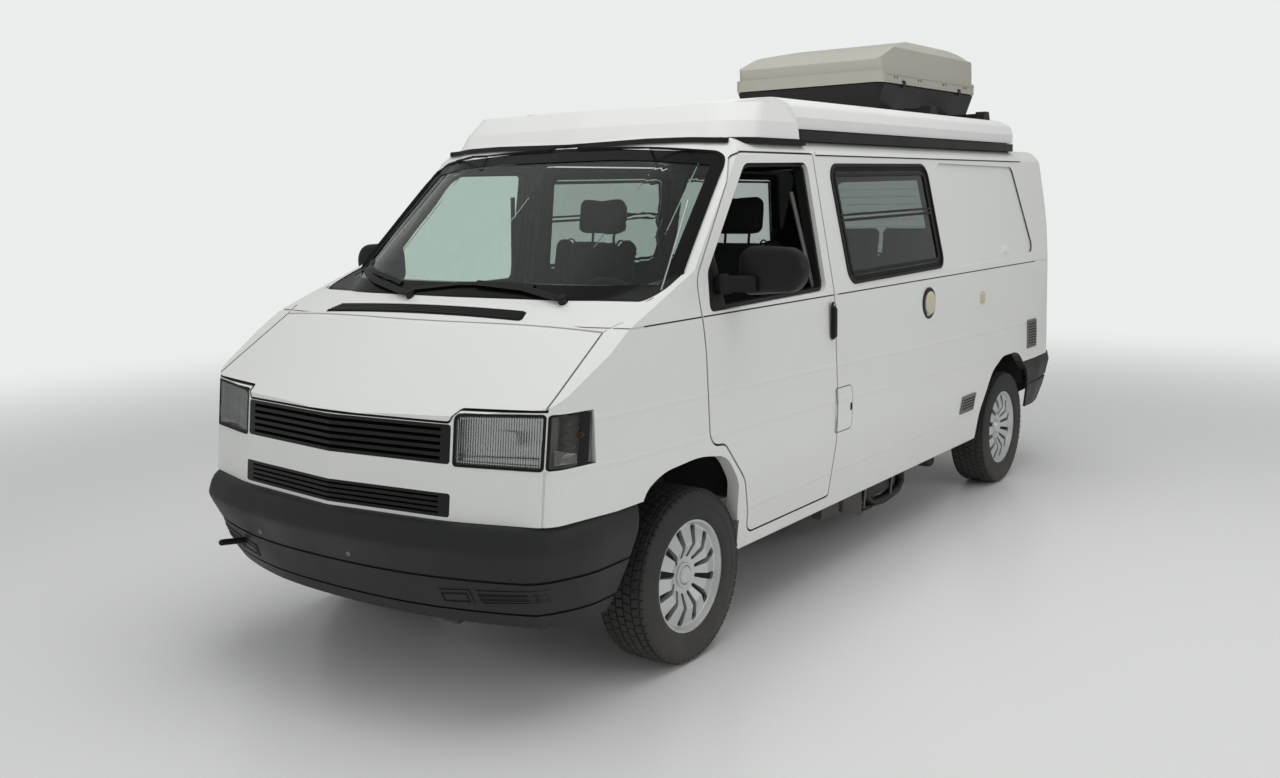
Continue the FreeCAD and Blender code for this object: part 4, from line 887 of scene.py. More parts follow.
class CAMPER_OT_seats(bpy.types.Operator):
    """Makes the cab seats and the bench as sewn, padded pieces"""

    bl_idname = "camper.seats"
    bl_label = "Seats and Bench"

    def swollen(self, bm, reach):
        """Fine closed mesh of a cushion, blown up like a stuffed cover with its movement capped."""
        mesh = bpy.data.meshes.new("cushion")
        bm.to_mesh(mesh)
        bm.free()
        thing = bpy.data.objects.new("cushion", mesh)
        bpy.context.collection.objects.link(thing)
        thing.location.z = 3.0
        bpy.context.view_layer.objects.active = thing
        grid = thing.modifiers.new("grid", "REMESH")
        grid.mode = "VOXEL"
        grid.voxel_size = 0.012
        bpy.ops.object.modifier_apply(modifier="grid")
        rest = [v.co.copy() for v in mesh.vertices]
        cloth = thing.modifiers.new("cloth", "CLOTH")
        cloth.settings.use_pressure = True
        cloth.settings.uniform_pressure_force = 4.0
        cloth.settings.effector_weights.gravity = 0.0
        cloth.settings.quality = 5
        scene = bpy.context.scene
        for step in range(1, 21):
            scene.frame_set(step)
        shown = thing.evaluated_get(bpy.context.evaluated_depsgraph_get()).data
        moved = [v.co.copy() for v in shown.vertices]
        thing.modifiers.remove(cloth)
        scene.frame_set(1)
        for vert, old, new in zip(mesh.vertices, rest, moved):
            step = new - old
            if step.length > reach:
                step = step.normalized() * reach
            vert.co = old + step
        result = bmesh.new()
        result.from_mesh(mesh)
        bpy.data.objects.remove(thing)
        bmesh.ops.smooth_vert(result, verts=result.verts[:], factor=0.5, use_axis_x=True, use_axis_y=True,
                              use_axis_z=True)
        bmesh.ops.recalc_face_normals(result, faces=result.faces[:])
        return result

    def cushion(self, corners, x0, x1, bevel):
        """Closed block with a side view and softly broken edges."""
        bm = thicken(outlined(corners, 5), x1 - x0)
        bmesh.ops.transform(bm, matrix=placed((x0, 0, 0), Y, Z, X), verts=bm.verts[:])
        rim = [e for e in bm.edges if abs(e.verts[0].co.x - e.verts[1].co.x) < 1e-6]
        bmesh.ops.bevel(bm, geom=rim, offset=bevel, segments=3, profile=0.5, affect="EDGES", material=-1)
        return bm

    def piping(self, corners, x, inset):
        """Sewn cord along the edge of a cushion's side."""
        radius = bpy.context.scene.camper_sizes.piping
        bm = outlined(grown(corners, inset), 6)
        line = [(x, v.co.x, v.co.y) for v in bm.verts]
        bm.free()
        middle = Vector((x, sum(p[1] for p in line) / len(line), sum(p[2] for p in line) / len(line)))
        line.sort(key=lambda p: math.atan2(p[2] - middle.z, p[1] - middle.y))
        return rod(line + line[:1], radius, 8)

    def execute(self, context):
        seat_low = [(0.490, 0.822, 0.03), (0.500, 0.925, 0.05), (0.985, 0.890, 0.05), (0.985, 0.822, 0.03)]
        seat_back = [(0.958, 0.915, 0.04), (1.045, 0.895, 0.05), (1.166, 1.496, 0.045), (1.088, 1.510, 0.045)]
        rest = [(1.086, 1.533, 0.03), (1.160, 1.530, 0.03), (1.178, 1.692, 0.035), (1.114, 1.700, 0.035)]
        for name, x, node in (("driver", 0.4, "seat_driver"), ("passenger", -0.4, "seat_passenger")):
            head = x if x > 0 else -0.36
            parts = {
                "cushion": [self.cushion(seat_low, x - 0.150, x + 0.150, 0.03),
                            self.cushion(seat_low, x - 0.235, x - 0.150, 0.03),
                            self.cushion(seat_low, x + 0.150, x + 0.235, 0.03)],
                "back": [self.cushion(seat_back, x - 0.145, x + 0.145, 0.03),
                         self.cushion(seat_back, x - 0.228, x - 0.145, 0.03),
                         self.cushion(seat_back, x + 0.145, x + 0.228, 0.03)],
                "headrest": [self.cushion(rest, head - 0.134, head + 0.134, 0.035)],
            }
            for part, blocks in parts.items():
                bm = joined([self.swollen(block_, 0.012) for block_ in blocks])
                thing = piece("seat_" + part + "_" + name, bm, "seat_fabric", "body", angle=60,
                              stands_for=(node,) if part == "cushion" else ())
            posts = joined([rod([(head + s, 1.128, 1.470), (head + s, 1.142, 1.560)],
                                0.006) for s in (-0.062, 0.062)])
            piece("headrest_posts_" + name, posts, "chassis_steel", "body")
            stand = joined([block((x - 0.19, 0.56, 0.562), (x + 0.19, 0.95, 0.780), 0.02, 3),
                            block((x - 0.215, 0.50, 0.780), (x + 0.215, 0.98, 0.812), 0.012, 3)])
            piece("seat_stand_" + name, stand, "cab_plastic", "body")
            shell = slab([(1.040, 0.90, 0.03), (1.062, 0.90, 0.01), (1.176, 1.46, 0.01), (1.160, 1.47, 0.01)],
                         0.40, placed((x - 0.20, 0, 0), Y, Z, X), 0.004)
            piece("seat_shell_" + name, shell, "cab_plastic", "body")
            cords = [self.piping(seat_back, x + s, 0.0) for s in (-0.147, 0.147)]
            piece("seat_piping_" + name, joined(cords), "seat_fabric", "body")
        bench_low = [(2.565, 0.920, 0.03), (2.570, 0.992, 0.05), (3.095, 0.965, 0.04), (3.095, 0.920, 0.02)]
        bench_back = [(3.060, 1.000, 0.03), (3.120, 0.985, 0.04), (3.208, 1.498, 0.045),
                      (3.145, 1.505, 0.045)]
        blocks = []
        for x0, x1 in ((-0.60, -0.225), (-0.215, 0.155), (0.165, 0.54)):
            blocks.append(self.cushion(bench_low, x0, x1, 0.03))
            blocks.append(self.cushion(bench_back, x0, x1, 0.03))
        bench = piece("bench_pads", joined([self.swollen(b, 0.012) for b in blocks]), "seat_fabric", "body",
                      angle=60, stands_for=("rear_bench",))
        stand = block((-0.61, 2.565, 0.562), (0.55, 3.09, 0.915), 0.012, 3)
        piece("bench_box", stand, "cabinet_wood", "body")
        return {"FINISHED"}


class CAMPER_OT_rear(bpy.types.Operator):
    """Adds the plate, handle, wiper, stop lamp and heater wires of the tail door"""

    bl_idname = "camper.rear"
    bl_label = "Tail Door Trim"

    def execute(self, context):
        tail = Panel("back", "tailgate", "tailgate_glass")
        window = Panel("back", "tailgate_glass")
        recess = tail.plate(rect(-0.300, 0.905, 0.300, 1.060, 0.02), 0.0, 0.003)
        piece("plate_panel", recess, "black_plastic", "tail_door")
        plate = tail.plate(rect(-0.155, 0.915, 0.155, 1.065, 0.01), 0.004, 0.002)
        piece("blank_plate", plate, "roof_plastic", "tail_door")
        grip = tail.plate([(-0.290, 1.068, 0.012), (0.290, 1.068, 0.012), (0.270, 1.112, 0.02),
                           (-0.270, 1.112, 0.02)], 0.0, 0.022)
        piece("plate_lamp_bar", grip, "black_plastic", "tail_door")
        lamps = [tail.plate(rect(u - 0.03, 1.074, u + 0.03, 1.086, 0.004), 0.022,
                            0.003) for u in (-0.12, 0.12)]
        piece("plate_lamps", joined(lamps), "lamp_glass", "tail_door")
        arm = tail.strip([(0.0, 1.225), (-0.11, 1.262), (-0.30, 1.282)], 0.016, 0.016, 0.008)
        blade = tail.strip([(-0.06, 1.268), (-0.25, 1.290), (-0.46, 1.292)], 0.010, 0.002, 0.014)
        base = tail.plate(rect(-0.030, 1.195, 0.030, 1.240, 0.02), 0.0, 0.030)
        piece("tail_wiper", joined([arm, blade, base]), "black_plastic", "tail_door")
        stop = tail.plate(rect(-0.150, 1.826, 0.150, 1.848, 0.006), 0.0, 0.012)
        piece("high_stop_lamp", stop, "red_lens", "tail_door")
        bars = [window.strip([(-0.60, z), (0.60, z)], 0.002, -0.0035, 0.001)
                for z in (1.32, 1.37, 1.42, 1.47, 1.52, 1.57, 1.62, 1.67, 1.72)]
        piece("heater_wires", joined(bars), "cast_metal", "tail_door")
        return {"FINISHED"}


class CAMPER_OT_roof_box(bpy.types.Operator):
    """Adds the roof box's rivets, clamps, locks and ridge lines"""

    bl_idname = "camper.roof_box"
    bl_label = "Roof Box Trim"

    def execute(self, context):
        for name, sign in SIDES.items():
            lid = Panel(name, "box_lid")
            rivets = []
            for y in (2.70, 3.02, 3.38, 3.70):
                for step in (-0.018, 0.018):
                    at = lid.hit((sign * 2, y + step, 2.314))
                    rivets.append(disc(0.0065, 0.0035, placed(at, Y, Z, (sign, 0, 0)), 0.0012, 14))
            whole = joined(rivets)
            bmesh.ops.recalc_face_normals(whole, faces=whole.faces[:])
            piece("box_rivets_" + name, whole, "cast_metal", "roof_box_lid")
            lip = lid.strip([(2.565, 2.286), (3.838, 2.286)], 0.007, 0.0, 0.004)
            piece("box_lip_" + name, lip, "box_plastic", "roof_box_lid")
            bead = lid.strip([(2.560, 2.330), (3.845, 2.330)], 0.006, 0.0, 0.0035)
            piece("box_bead_" + name, bead, "box_plastic", "roof_box_lid")
        locks = []
        for y in (2.80, 3.60):
            locks.append(slab([(y - 0.02, 2.262, 0.006), (y + 0.02, 2.262, 0.006), (y + 0.02, 2.302, 0.010),
                               (y - 0.02, 2.302, 0.010)], 0.008, on_side(0.4545), 0.003))
        piece("box_locks", joined(locks), "black_plastic", "lifting_roof")
        clamps = []
        for y in (2.76, 3.56):
            for x in (-0.30, 0.30):
                clamps.append(block((x - 0.03, y - 0.035, 2.118), (x + 0.03, y + 0.035, 2.150), 0.008, 3))
                clamps.append(disc(0.022, 0.016, placed((x, y, 2.106), X, Y, Z), 0.005, 20))
        piece("box_clamps", joined(clamps), "black_plastic", "lifting_roof", angle=50)
        return {"FINISHED"}


class CAMPER_OT_seal(bpy.types.Operator):
    """Adds the black seal under the front cap"""

    bl_idname = "camper.seal"
    bl_label = "Cap Seal"

    def execute(self, context):
        half = [(0.0, 0.456), (0.35, 0.478), (0.62, 0.498), (0.70, 0.530), (0.752, 0.590), (0.779, 0.660),
                (0.781, 0.80), (0.781, 1.06)]
        points = [(-u, v) for u, v in reversed(half[1:])] + half
        bm = bmesh.new()
        rows = []
        for u, v in points:
            rows.append([bm.verts.new((u * (1 + g), v - 0.4 * g, z))
                         for g, z in ((0.012, 1.927), (0.012, 1.902), (-0.02, 1.902), (-0.02, 1.927))])
        for a, b in zip(rows, rows[1:]):
            for k in range(4):
                bm.faces.new((a[k], b[k], b[(k + 1) % 4], a[(k + 1) % 4]))
        bm.faces.new(rows[0])
        bm.faces.new(list(reversed(rows[-1])))
        bmesh.ops.recalc_face_normals(bm, faces=bm.faces[:])
        line = [(0.0, 1.916), (0.20, 1.920), (0.40, 1.924), (0.60, 1.921), (0.745, 1.914)]
        across = [(-u, v) for u, v in reversed(line[1:])] + line
        front = Panel("front", "body_shell").strip(across, 0.020, 0.0, 0.013)
        bm = joined([bm, front])
        piece("cap_seal", bm, "seal_rubber", "body")
        return {"FINISHED"}


class CAMPER_OT_lamps(bpy.types.Operator):
    """Makes the headlamps, turn lamps and rear lamps"""

    bl_idname = "camper.lamps"
    bl_label = "Lamps"

    def tub(self, panel, corners, depth, wall=0.004):
        """Bowl behind a lens: walls and a floor that follow the panel's curve."""
        sides = banded(corners, wall)
        thicken(sides, -depth)
        bmesh.ops.transform(sides, matrix=panel.place, verts=sides.verts[:])
        refine(sides, 0.06)
        lay_on(sides, panel.skin, panel.drop, -0.006)
        bmesh.ops.recalc_face_normals(sides, faces=sides.faces[:])
        bottom = panel.plate(grown(corners, wall / 2), -0.006 - depth, -0.003, 0.03)
        return joined([sides, bottom])

    def execute(self, context):
        nose = Panel("front", "headlamps", "turn_lamps", "body_shell")
        tail = Panel("back", "rear_lamps")
        for name, sign in SIDES.items():
            stands = sign > 0

            lens = nose.plate(grown(HEADLAMP, 0.006), 0.0, -0.004, 0.02)
            piece("headlamp_lens_" + name, handed(sign, lens), "lamp_glass", "body",
                  stands_for=("headlamps",) if stands else ())
            gasket = nose.band(grown(HEADLAMP, -0.001), 0.008, 0.0, 0.002)
            piece("headlamp_gasket_" + name, handed(sign, gasket), "seal_rubber", "body")
            frame_ = nose.band(grown(HEADLAMP, 0.007), 0.009, -0.010, -0.004)
            piece("headlamp_frame_" + name, handed(sign, frame_), "grey_vent", "body")
            tub = self.tub(nose, grown(HEADLAMP, 0.012), 0.050)
            piece("headlamp_bowl_" + name, handed(sign, tub), "reflector", "body")
            shelf = nose.plate([(0.560, 0.880, 0.004), (0.815, 0.878, 0.004), (0.812, 0.892, 0.004),
                                (0.562, 0.888, 0.004)], -0.014, -0.022)
            piece("headlamp_shelf_" + name, handed(sign, shelf), "reflector", "body")
            shield = nose.plate(rect(0.655, 0.925, 0.735, 0.975, 0.02), -0.030, -0.008)
            piece("headlamp_shield_" + name, handed(sign, shield), "chrome", "body")
            lens = nose.plate(grown(TURN_LAMP, 0.003), 0.0, -0.004, 0.015)
            piece("turn_lens_" + name, handed(sign, lens), "smoked_lens", "body",
                  stands_for=("turn_lamps",) if stands else ())
            gasket = nose.band(TURN_LAMP, 0.007, 0.0, 0.002)
            piece("turn_gasket_" + name, handed(sign, gasket), "seal_rubber", "body")
            back_plate = nose.plate(grown(TURN_LAMP, 0.006), -0.050, -0.003, 0.02)
            piece("turn_bowl_" + name, handed(sign, back_plate), "turn_bowl", "body")
            bulb = disc(0.013, 0.03, placed((0.868, -0.618, 0.962), Y, Z, X), 0.008, segments=24)
            piece("turn_bulb_" + name, handed(sign, bulb), "orange_lens", "body")
            low = nose.plate([(0.850, 0.874, 0.004), (0.884, 0.874, 0.004), (0.884, 0.905, 0.012),
                              (0.850, 0.925, 0.004)], -0.020, -0.010)
            piece("turn_reflector_" + name, handed(sign, low), "reflector", "body")
            zones = (("red_low", 0.764, 0.880, "red_lens"), ("clear", 0.882, 0.945, "lamp_glass"),
                     ("orange", 0.947, 1.030, "orange_lens"), ("red_high", 1.032, 1.116, "red_lens"))
            for k, (zone, low_z, high_z, finish) in enumerate(zones):
                lens = tail.plate([(0.804, low_z, 0.008), (0.893, low_z, 0.003), (0.893, high_z, 0.003),
                                   (0.804, high_z, 0.008)], 0.0, -0.004, 0.015)
                piece("rear_lens_" + zone + "_" + name, handed(sign, lens), finish, "body",
                      stands_for=("rear_lamps",) if stands and not k else ())
            bed = tail.plate(grown(REAR_LAMP, 0.003), -0.022, -0.003, 0.02)
            piece("rear_bowl_" + name, handed(sign, bed), "reflector", "body")
            gasket = tail.band(REAR_LAMP, 0.005, 0.0, 0.002)
            piece("rear_gasket_" + name, handed(sign, gasket), "seal_rubber", "body")
        return {"FINISHED"}


class CAMPER_OT_bumper(bpy.types.Operator):
    """Makes the front bumper with its soft shoulder"""

    bl_idname = "camper.bumper"
    bl_label = "Front Bumper"

    def plan(self, front, side, end):
        """Half of the bumper's plan at one level, rounded, from the middle to its end at the wheel."""
        nose = -0.992
        corners = [(-0.560, nose + 0.047 + front, 0.25), (0, nose - 0.011 + front, 0.28),
                   (0.560, nose + 0.047 + front, 0.24), (0.855 - side, nose + 0.170 + 0.85 * front, 0.075),
                   (0.922 - side, -0.600 + 0.2 * front, 0.06), (0.918 - side, end, 0)]
        bm = bmesh.new()
        verts = [bm.verts.new((u, v, 0)) for u, v, _ in corners]
        for pair in zip(verts, verts[1:]):
            bm.edges.new(pair)
        for vert, corner in list(zip(verts, corners))[1:-1]:
            bmesh.ops.bevel(bm, geom=[vert], offset=corner[2], segments=10, profile=0.5, affect="VERTICES",
                            material=-1)
        line = sorted((v.co.copy() for v in bm.verts if v.co.x > -1e-5), key=lambda p: (round(p.x, 5), p.y))
        bm.free()
        turn = [p for p in line if p.x <= 0.8]
        rest = sorted((p for p in line if p.x > 0.8), key=lambda p: p.y)
        half = turn + rest
        if half[0].x > 1e-5:
            half.insert(0, Vector((0, half[0].y, 0)))
        return half

    def execute(self, context):
        levels = [(0.328, 0.127, 0.068), (0.376, 0.097, 0.052), (0.376, 0.106, 0.060), (0.385, 0.101, 0.057),
                  (0.385, 0.0915, 0.049), (0.440, 0.070, 0.037), (0.494, 0.052, 0.026), (0.494, 0.060, 0.034),
                  (0.503, 0.057, 0.031), (0.503, 0.0485, 0.0245), (0.560, 0.019, 0.009),
                  (0.592, 0.004, 0.002), (0.603, 0.001, 0.001), (0.613, 0.002, 0.001), (0.634, 0.009, 0.003),
                  (0.652, 0.017, 0.006), (0.667, 0.028, 0.010), (0.677, 0.041, 0.015), (0.682, 0.060, 0.025),
                  (0.684, 0.090, 0.040), (0.684, 0.130, 0.052)]
        rings = []
        for z, front, side in levels:
            end = -0.346 - (0.684 - z) * 0.2 if z > 0.484 else -0.386 - (0.484 - z) * 0.487
            half = self.plan(front, side, end)
            whole = [Vector((-p.x, p.y, z)) for p in reversed(half[1:])] + [Vector((p.x, p.y, z)) for p in half]
            rings.append(whole)
        bm = bmesh.new()
        loops = []
        for ring in rings:
            verts = [bm.verts.new(p) for p in ring]
            loops.append([bm.edges.new(pair) for pair in zip(verts, verts[1:])])
        for low, high in zip(loops, loops[1:]):
            bmesh.ops.bridge_loops(bm, edges=low + high)
        bmesh.ops.recalc_face_normals(bm, faces=bm.faces[:])
        bmesh.ops.solidify(bm, geom=bm.faces[:], thickness=0.004)
        piece("bumper_shell", bm, "bumper_plastic", "body", stands_for=("front_bumper",), angle=40)
        shell = Panel("front", "bumper_shell")
        slot = [(0.620, 0.408, 0.006), (0.838, 0.425, 0.006), (0.835, 0.474, 0.006), (0.612, 0.462, 0.006)]
        plug = [(0.484, 0.400, 0.006), (0.598, 0.408, 0.006), (0.592, 0.462, 0.006), (0.476, 0.452, 0.006)]
        for name, sign in SIDES.items():
            rims = [shell.band(corners, 0.008, 0.0, 0.004, 0.03) for corners in (slot, plug)]
            fins = [shell.strip([(0.626, z), (0.830, z + 0.014)], 0.004, 0.0006, 0.003)
                    for z in (0.424, 0.440)]
            lid = shell.plate(grown(plug, 0.016), 0.0006, 0.003)
            # Near-black plates in the fog slot and round the plug: painted shade of the recesses
            shaded_floors = [shell.plate(grown(corners, 0.006), 0.0, 0.0012) for corners in (slot, plug)]
            trim = joined(rims + fins + [lid])
            dark = joined(shaded_floors)
            piece("fog_trim_" + name, handed(sign, trim), "bumper_plastic", "body")
            piece("fog_slot_shade_" + name, handed(sign, dark), "wheel_dark", "body")
        caps = []
        for u, v in ((0.135, 0.538), (-0.368, 0.535)):
            hit = shell.hit((u, -2, v))
            caps.append(disc(0.0105, 0.004, placed(hit - Vector((0, -0.001, 0)), X, Z, (0, -1, 0)), 0.0015,
                             24))
        piece("bumper_caps", joined(caps), "grey_vent", "body")
        piece("tow_eye", rod([(-0.560, -0.820, 0.448), (-0.588, -0.930, 0.460), (-0.590, -0.945, 0.461),
                              (-0.590, -0.946, 0.461)], 0.012), "black_plastic", "body")
        return {"FINISHED"}


class CAMPER_OT_front(bpy.types.Operator):
    """Adds the radiator core, cowl louvres, wipers and aerial"""

    bl_idname = "camper.front"
    bl_label = "Front Trim"

    def execute(self, context):
        core = block((-0.50, -0.80, 0.690), (0.50, -0.785, 1.000), 0.004)
        piece("radiator_core", core, "wheel_dark", "body")
        cowl = Panel("top", "grilles", "body_shell")
        bed = cowl.plate([(-0.586, -0.397, 0.010), (0.452, -0.397, 0.010), (0.424, -0.337, 0.018),
                          (-0.558, -0.337, 0.018)], 0.0, 0.0015)
        piece("cowl_bed", bed, "wheel_dark", "body")
        stations = (-0.389, -0.3775, -0.366, -0.3545, -0.343)
        louvres = [cowl.strip([(-0.576 + k * 0.006, y), (0.442 - k * 0.006, y)], 0.0055, 0.0015, 0.004)
                   for k, y in enumerate(stations)]
        piece("cowl_louvres", joined(louvres), "gloss_black", "body")
        screen = Panel("front", "windscreen")
        shapes = (("far", [(-0.222, 1.349), (-0.471, 1.391), (-0.655, 1.432)],
                   [(-0.700, 1.462), (-0.655, 1.441), (-0.400, 1.402), (-0.330, 1.388)]),
                  ("near", [(0.537, 1.350), (0.323, 1.385), (0.085, 1.399)],
                   [(-0.237, 1.370), (0.0, 1.394), (0.20, 1.398), (0.360, 1.392)]))
        for name, arm, blade in shapes:
            bar = screen.strip(arm, 0.016, 0.018, 0.008)
            rubber = screen.strip(blade, 0.008, 0.001, 0.012)
            spine = screen.strip(blade, 0.012, 0.013, 0.005)
            u, v = arm[0]
            hit = screen.skin.find_nearest(Vector((u, -0.28, v)) + FRONT_AXLE)[0] - FRONT_AXLE
            hub = disc(0.019, 0.034, placed(hit + Vector((0, -0.004, -0.012)), X, (0, 0.848, 0.530),
                                            (0, -0.530, 0.848)), 0.006, segments=28)
            piece("wiper_" + name, joined([bar, rubber, spine, hub]), "black_plastic", "body")
        rod_up = rod([(0.832, -0.104, 1.345), (0.842, -0.045, 1.470), (0.857, 0.055, 1.690)], 0.0028)
        foot = disc(0.011, 0.024, placed((0.832, -0.108, 1.330), X, Y, Z), 0.004, segments=24)
        piece("aerial", joined([rod_up, foot]), "chrome", "body")
        return {"FINISHED"}


class CAMPER_OT_wheels(bpy.types.Operator):
    """Makes treaded tyres and finishes the wheel covers"""

    bl_idname = "camper.wheels"
    bl_label = "Wheels"

    def tyre(self, x, tread):
        """Left tyre on the front axle, turned about X, with its own tread blocks."""
        r = AXLE_Z
        half = [(0.0, r - tread), (0.070, r - tread - 0.001), (0.084, r - tread - 0.004), (0.094, r - 0.018),
                (0.1005, r - 0.034), (0.1035, r - 0.060), (0.1015, r - 0.064), (0.1030, r - 0.070),
                (0.1015, r - 0.088), (0.1020, r - 0.091), (0.0985, r - 0.104), (0.0950, r - 0.113),
                (0.0800, r - 0.124), (0.0760, r - 0.122)]
        profile = [(-a, b) for a, b in reversed(half[1:])] + half
        bm = bmesh.new()
        verts = [bm.verts.new((a, 0, AXLE_Z + b)) for a, b in profile]
        edges = [bm.edges.new(pair) for pair in zip(verts, verts[1:] + verts[:1])]
        bmesh.ops.spin(bm, geom=verts + edges, cent=(0, 0, AXLE_Z), axis=(1, 0, 0), angle=2 * math.pi,
                       steps=72, use_merge=True)
        bmesh.ops.remove_doubles(bm, verts=bm.verts[:], dist=1e-6)
        count = 60
        step = 2 * math.pi / count
        ribs = ((-0.067, 0.027, 0.25), (-0.034, 0.028, -0.2), (0.0, 0.026, 0.0), (0.034, 0.028, -0.2),
                (0.067, 0.027, 0.25))
        parts = [bm]
        for k, (across, width, slant) in enumerate(ribs):
            lug = bmesh.new()
            bmesh.ops.create_cube(lug, size=1,
                                  matrix=Matrix.Diagonal((width, r * step - 0.0035, tread + 0.003, 1)))
            bmesh.ops.bevel(lug, geom=lug.edges[:], offset=0.0012, segments=1, profile=0.5, affect="EDGES",
                            material=-1)
            for vert in lug.verts:
                vert.co.y += vert.co.x * slant
            top = 0.0 if abs(across) < 0.05 else 0.0012
            seat = AXLE_Z + r - (tread + 0.003) / 2 - top - 0.0006
            bmesh.ops.translate(lug, verts=lug.verts[:], vec=(across, 0, seat))
            around(lug, (0, 0, AXLE_Z), X, count, k * 0.37 * step)
            parts.append(lug)
        for sign in (-1, 1):
            cleat = bmesh.new()
            bmesh.ops.create_cube(cleat, size=1, matrix=Matrix.Diagonal((0.012, r * step * 0.84, 0.022, 1)))
            bmesh.ops.bevel(cleat, geom=cleat.edges[:], offset=0.0015, segments=1, profile=0.5,
                            affect="EDGES", material=-1)
            bmesh.ops.rotate(cleat, cent=(0, 0, 0), matrix=Matrix.Rotation(sign * math.radians(33), 3, "Y"),
                             verts=cleat.verts[:])
            bmesh.ops.translate(cleat, verts=cleat.verts[:], vec=(sign * 0.0875, 0, AXLE_Z + r - 0.0175))
            parts.append(around(cleat, (0, 0, AXLE_Z), (1, 0, 0), count, 0.5 * step))
        whole = joined(parts)
        bmesh.ops.recalc_face_normals(whole, faces=whole.faces[:])
        bmesh.ops.translate(whole, verts=whole.verts[:], vec=(x, 0, 0))
        return whole

    def cover(self, x):
        """Rings and cap of one left cover on the front axle, and near-black slot shapes that are painted shade
        in its slot pockets.
        """
        shaded_slots = slab([(-0.0060, 0.070, 0.003), (0.0060, 0.070, 0.003), (0.0155, 0.186, 0.006),
                       (-0.0155, 0.186, 0.006)], 0.013, placed((x + 0.0445, 0, AXLE_Z), Y, Z, X))
        around(shaded_slots, (0, 0, AXLE_Z), X, SLOTS, math.radians(180 / SLOTS))
        hub = placed((x + 0.050, 0, AXLE_Z), Y, Z, X)
        cap = disc(0.034, 0.020, hub, 0.006)
        ring = disc(0.047, 0.014, hub, 0.004, inner=0.037)
        lip = disc(0.2125, 0.003, placed((x + 0.0865, 0, AXLE_Z), Y, Z, X), 0.001, 72, inner=0.203)
        return joined([cap, ring, lip]), shaded_slots

    def execute(self, context):
        sizes = context.scene.camper_sizes
        for axle, station in (("front", 0.0), ("rear", WHEELBASE)):
            x = HALF_TRACK[axle]
            for name, sign in SIDES.items():
                body = "wheel_" + axle + "_" + name
                rubber = self.tyre(x, sizes.tread)
                trim, dark = self.cover(HALF_TRACK["front"])
                shift = (x - HALF_TRACK["front"], station, 0)
                for bm in (trim, dark):
                    bmesh.ops.translate(bm, verts=bm.verts[:], vec=shift)
                bmesh.ops.translate(rubber, verts=rubber.verts[:], vec=(0, station, 0))
                rubber, trim, dark = (handed(sign, bm) for bm in (rubber, trim, dark))
                piece("tread_" + axle + "_" + name, rubber, "tyre", body,
                      stands_for=("tyre_" + axle + "_" + name,))
                piece("cover_trim_" + axle + "_" + name, trim, "wheel_silver", body)
                # Near-black slot shapes: painted shade in the cover's slot pockets
                piece("cover_slot_shade_" + axle + "_" + name, dark, "wheel_dark", body)
        return {"FINISHED"}


# Stage

def area_lamp(name, size, power, place, aim, mirrored=True):
    """Rectangular lamp that points at a place and isn't seen through glass."""
    data = bpy.data.lights.new(name, "AREA")
    data.shape = "RECTANGLE"
    data.size, data.size_y = size
    data.energy = power
    lamp = bpy.data.objects.new(name, data)
    lamp.location = place
    lamp.visible_glossy = mirrored
    lamp.visible_transmission = False
    lamp.rotation_euler = (Vector(aim) - Vector(place)).to_track_quat("-Z", "Y").to_euler()
    bpy.context.collection.objects.link(lamp)


# White of the backdrop, and its strength seen directly, in reflections and as plain light
WHITE = (0.88, 0.89, 0.89, 1)
SEEN, MIRRORED, PLAIN = 0.95, 0.42, 0.5


def backdrop_white(tree):
    """Strength that is white to the camera and through glass, dimmer in reflections and plain as light."""
    path = tree.nodes.new("ShaderNodeLightPath")
    direct = math_node(tree, "MAXIMUM", path.outputs["Is Camera Ray"], path.outputs["Is Transmission Ray"])
    turned = math_node(tree, "ADD", path.outputs["Glossy Depth"], path.outputs["Diffuse Depth"])
    direct = math_node(tree, "SUBTRACT", direct, turned, clamp=True)
    dim = add_node(tree, "ShaderNodeMapRange", Value=path.outputs["Is Glossy Ray"], To_Min=PLAIN,
                   To_Max=MIRRORED)
    return add_node(tree, "ShaderNodeMapRange", Value=direct, To_Min=dim.outputs[0], To_Max=SEEN).outputs[0]


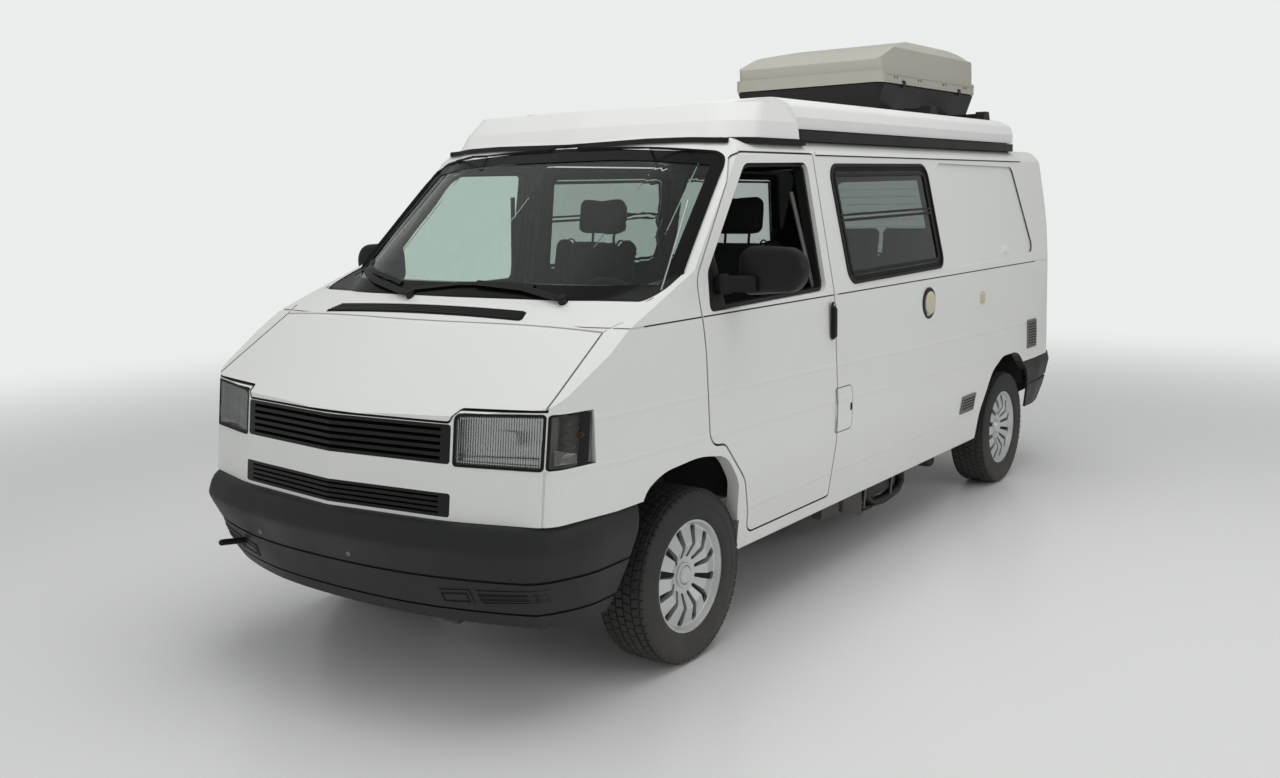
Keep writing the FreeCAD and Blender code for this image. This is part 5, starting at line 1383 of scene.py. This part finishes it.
class CAMPER_OT_stage(bpy.types.Operator):
    """Adds the floor, the lamps and the camera"""

    bl_idname = "camper.stage"
    bl_label = "Stage"

    def execute(self, context):
        settings = context.scene.camper_stage
        data = bpy.data.cameras.new("camera")
        data.lens = settings.camera_lens
        data.sensor_width = 36
        data.clip_end = 200
        camera = bpy.data.objects.new("camera", data)
        camera.location = settings.camera_place
        camera.rotation_euler = settings.camera_turn
        context.collection.objects.link(camera)
        context.scene.camera = camera
        world = bpy.data.worlds.new("studio")
        context.scene.world = world
        world.use_nodes = True
        tree = world.node_tree
        background = tree.nodes["Background"]
        background.inputs["Color"].default_value = WHITE
        tree.links.new(backdrop_white(tree), background.inputs["Strength"])
        floor = bmesh.new()
        bmesh.ops.create_grid(floor, x_segments=2, y_segments=2, size=40)
        mesh = bpy.data.meshes.new("floor")
        floor.to_mesh(mesh)
        floor.free()
        ground = bpy.data.objects.new("floor", mesh)
        context.collection.objects.link(ground)
        material, tree, shader = blank_material("studio_floor")
        shader.inputs["Base Color"].default_value = (0.80, 0.80, 0.80, 1)
        shader.inputs["Roughness"].default_value = 0.30
        place = tree.nodes.new("ShaderNodeTexCoord").outputs["Object"]
        away = add_node(tree, "ShaderNodeVectorMath", operation="LENGTH", _0=place).outputs["Value"]
        far = add_node(tree, "ShaderNodeMapRange", Value=away, From_Min=3.6, From_Max=10.0,
                       interpolation_type="SMOOTHSTEP").outputs[0]
        white = backdrop_white(tree)
        glow = add_node(tree, "ShaderNodeEmission", Color=WHITE, Strength=white)
        blend = add_node(tree, "ShaderNodeMixShader", Fac=far)
        tree.links.new(shader.outputs[0], blend.inputs[1])
        tree.links.new(glow.outputs[0], blend.inputs[2])
        tree.links.new(blend.outputs[0], tree.nodes["Material Output"].inputs["Surface"])
        mesh.materials.append(material)
        area_lamp("overhead", (6.0, 7.0), 215, (0.3, -0.3, 6.0), (0, 0, 0.8), mirrored=False)
        area_lamp("front_soft", (4.0, 2.0), 60, (1.0, -9.0, 3.6), (0, -1.5, 1.0), mirrored=False)
        area_lamp("side_soft", (6.0, 2.0), 75, (8.0, 0.5, 3.8), (0, 0.3, 1.0))
        context.scene.view_settings.view_transform = "Standard"
        return {"FINISHED"}


OPERATORS = (CAMPER_OT_finishes, CAMPER_OT_stage, CAMPER_OT_rubbers, CAMPER_OT_side_trim,
             CAMPER_OT_mirrors, CAMPER_OT_rear, CAMPER_OT_roof_box, CAMPER_OT_seats, CAMPER_OT_seal,
             CAMPER_OT_lamps, CAMPER_OT_bumper, CAMPER_OT_front, CAMPER_OT_wheels)


class CAMPER_PT_build(bpy.types.Panel):
    """Lists the steps that dress the van"""

    bl_idname = "CAMPER_PT_build"
    bl_label = "Camper Van"
    bl_space_type = "VIEW_3D"
    bl_region_type = "UI"
    bl_category = "Camper Van"

    def draw(self, context):
        for step in OPERATORS:
            self.layout.operator(step.bl_idname)
        for group in (context.scene.camper_finish, context.scene.camper_sizes, context.scene.camper_stage):
            for key in group.bl_rna.properties.keys():
                if key not in ("rna_type", "name"):
                    self.layout.prop(group, key)


CLASSES = (StageSettings, FinishSettings, SizeSettings, *OPERATORS, CAMPER_PT_build)


def register():
    for item in CLASSES:
        bpy.utils.register_class(item)
    bpy.types.Scene.camper_stage = PointerProperty(type=StageSettings)
    bpy.types.Scene.camper_finish = PointerProperty(type=FinishSettings)
    bpy.types.Scene.camper_sizes = PointerProperty(type=SizeSettings)


def unregister():
    del bpy.types.Scene.camper_stage
    del bpy.types.Scene.camper_finish
    del bpy.types.Scene.camper_sizes
    for item in reversed(CLASSES):
        bpy.utils.unregister_class(item)


def main():
    register()
    for step in OPERATORS:
        group, name = step.bl_idname.split(".")
        getattr(getattr(bpy.ops, group), name)()


if __name__ == "__main__":
    main()
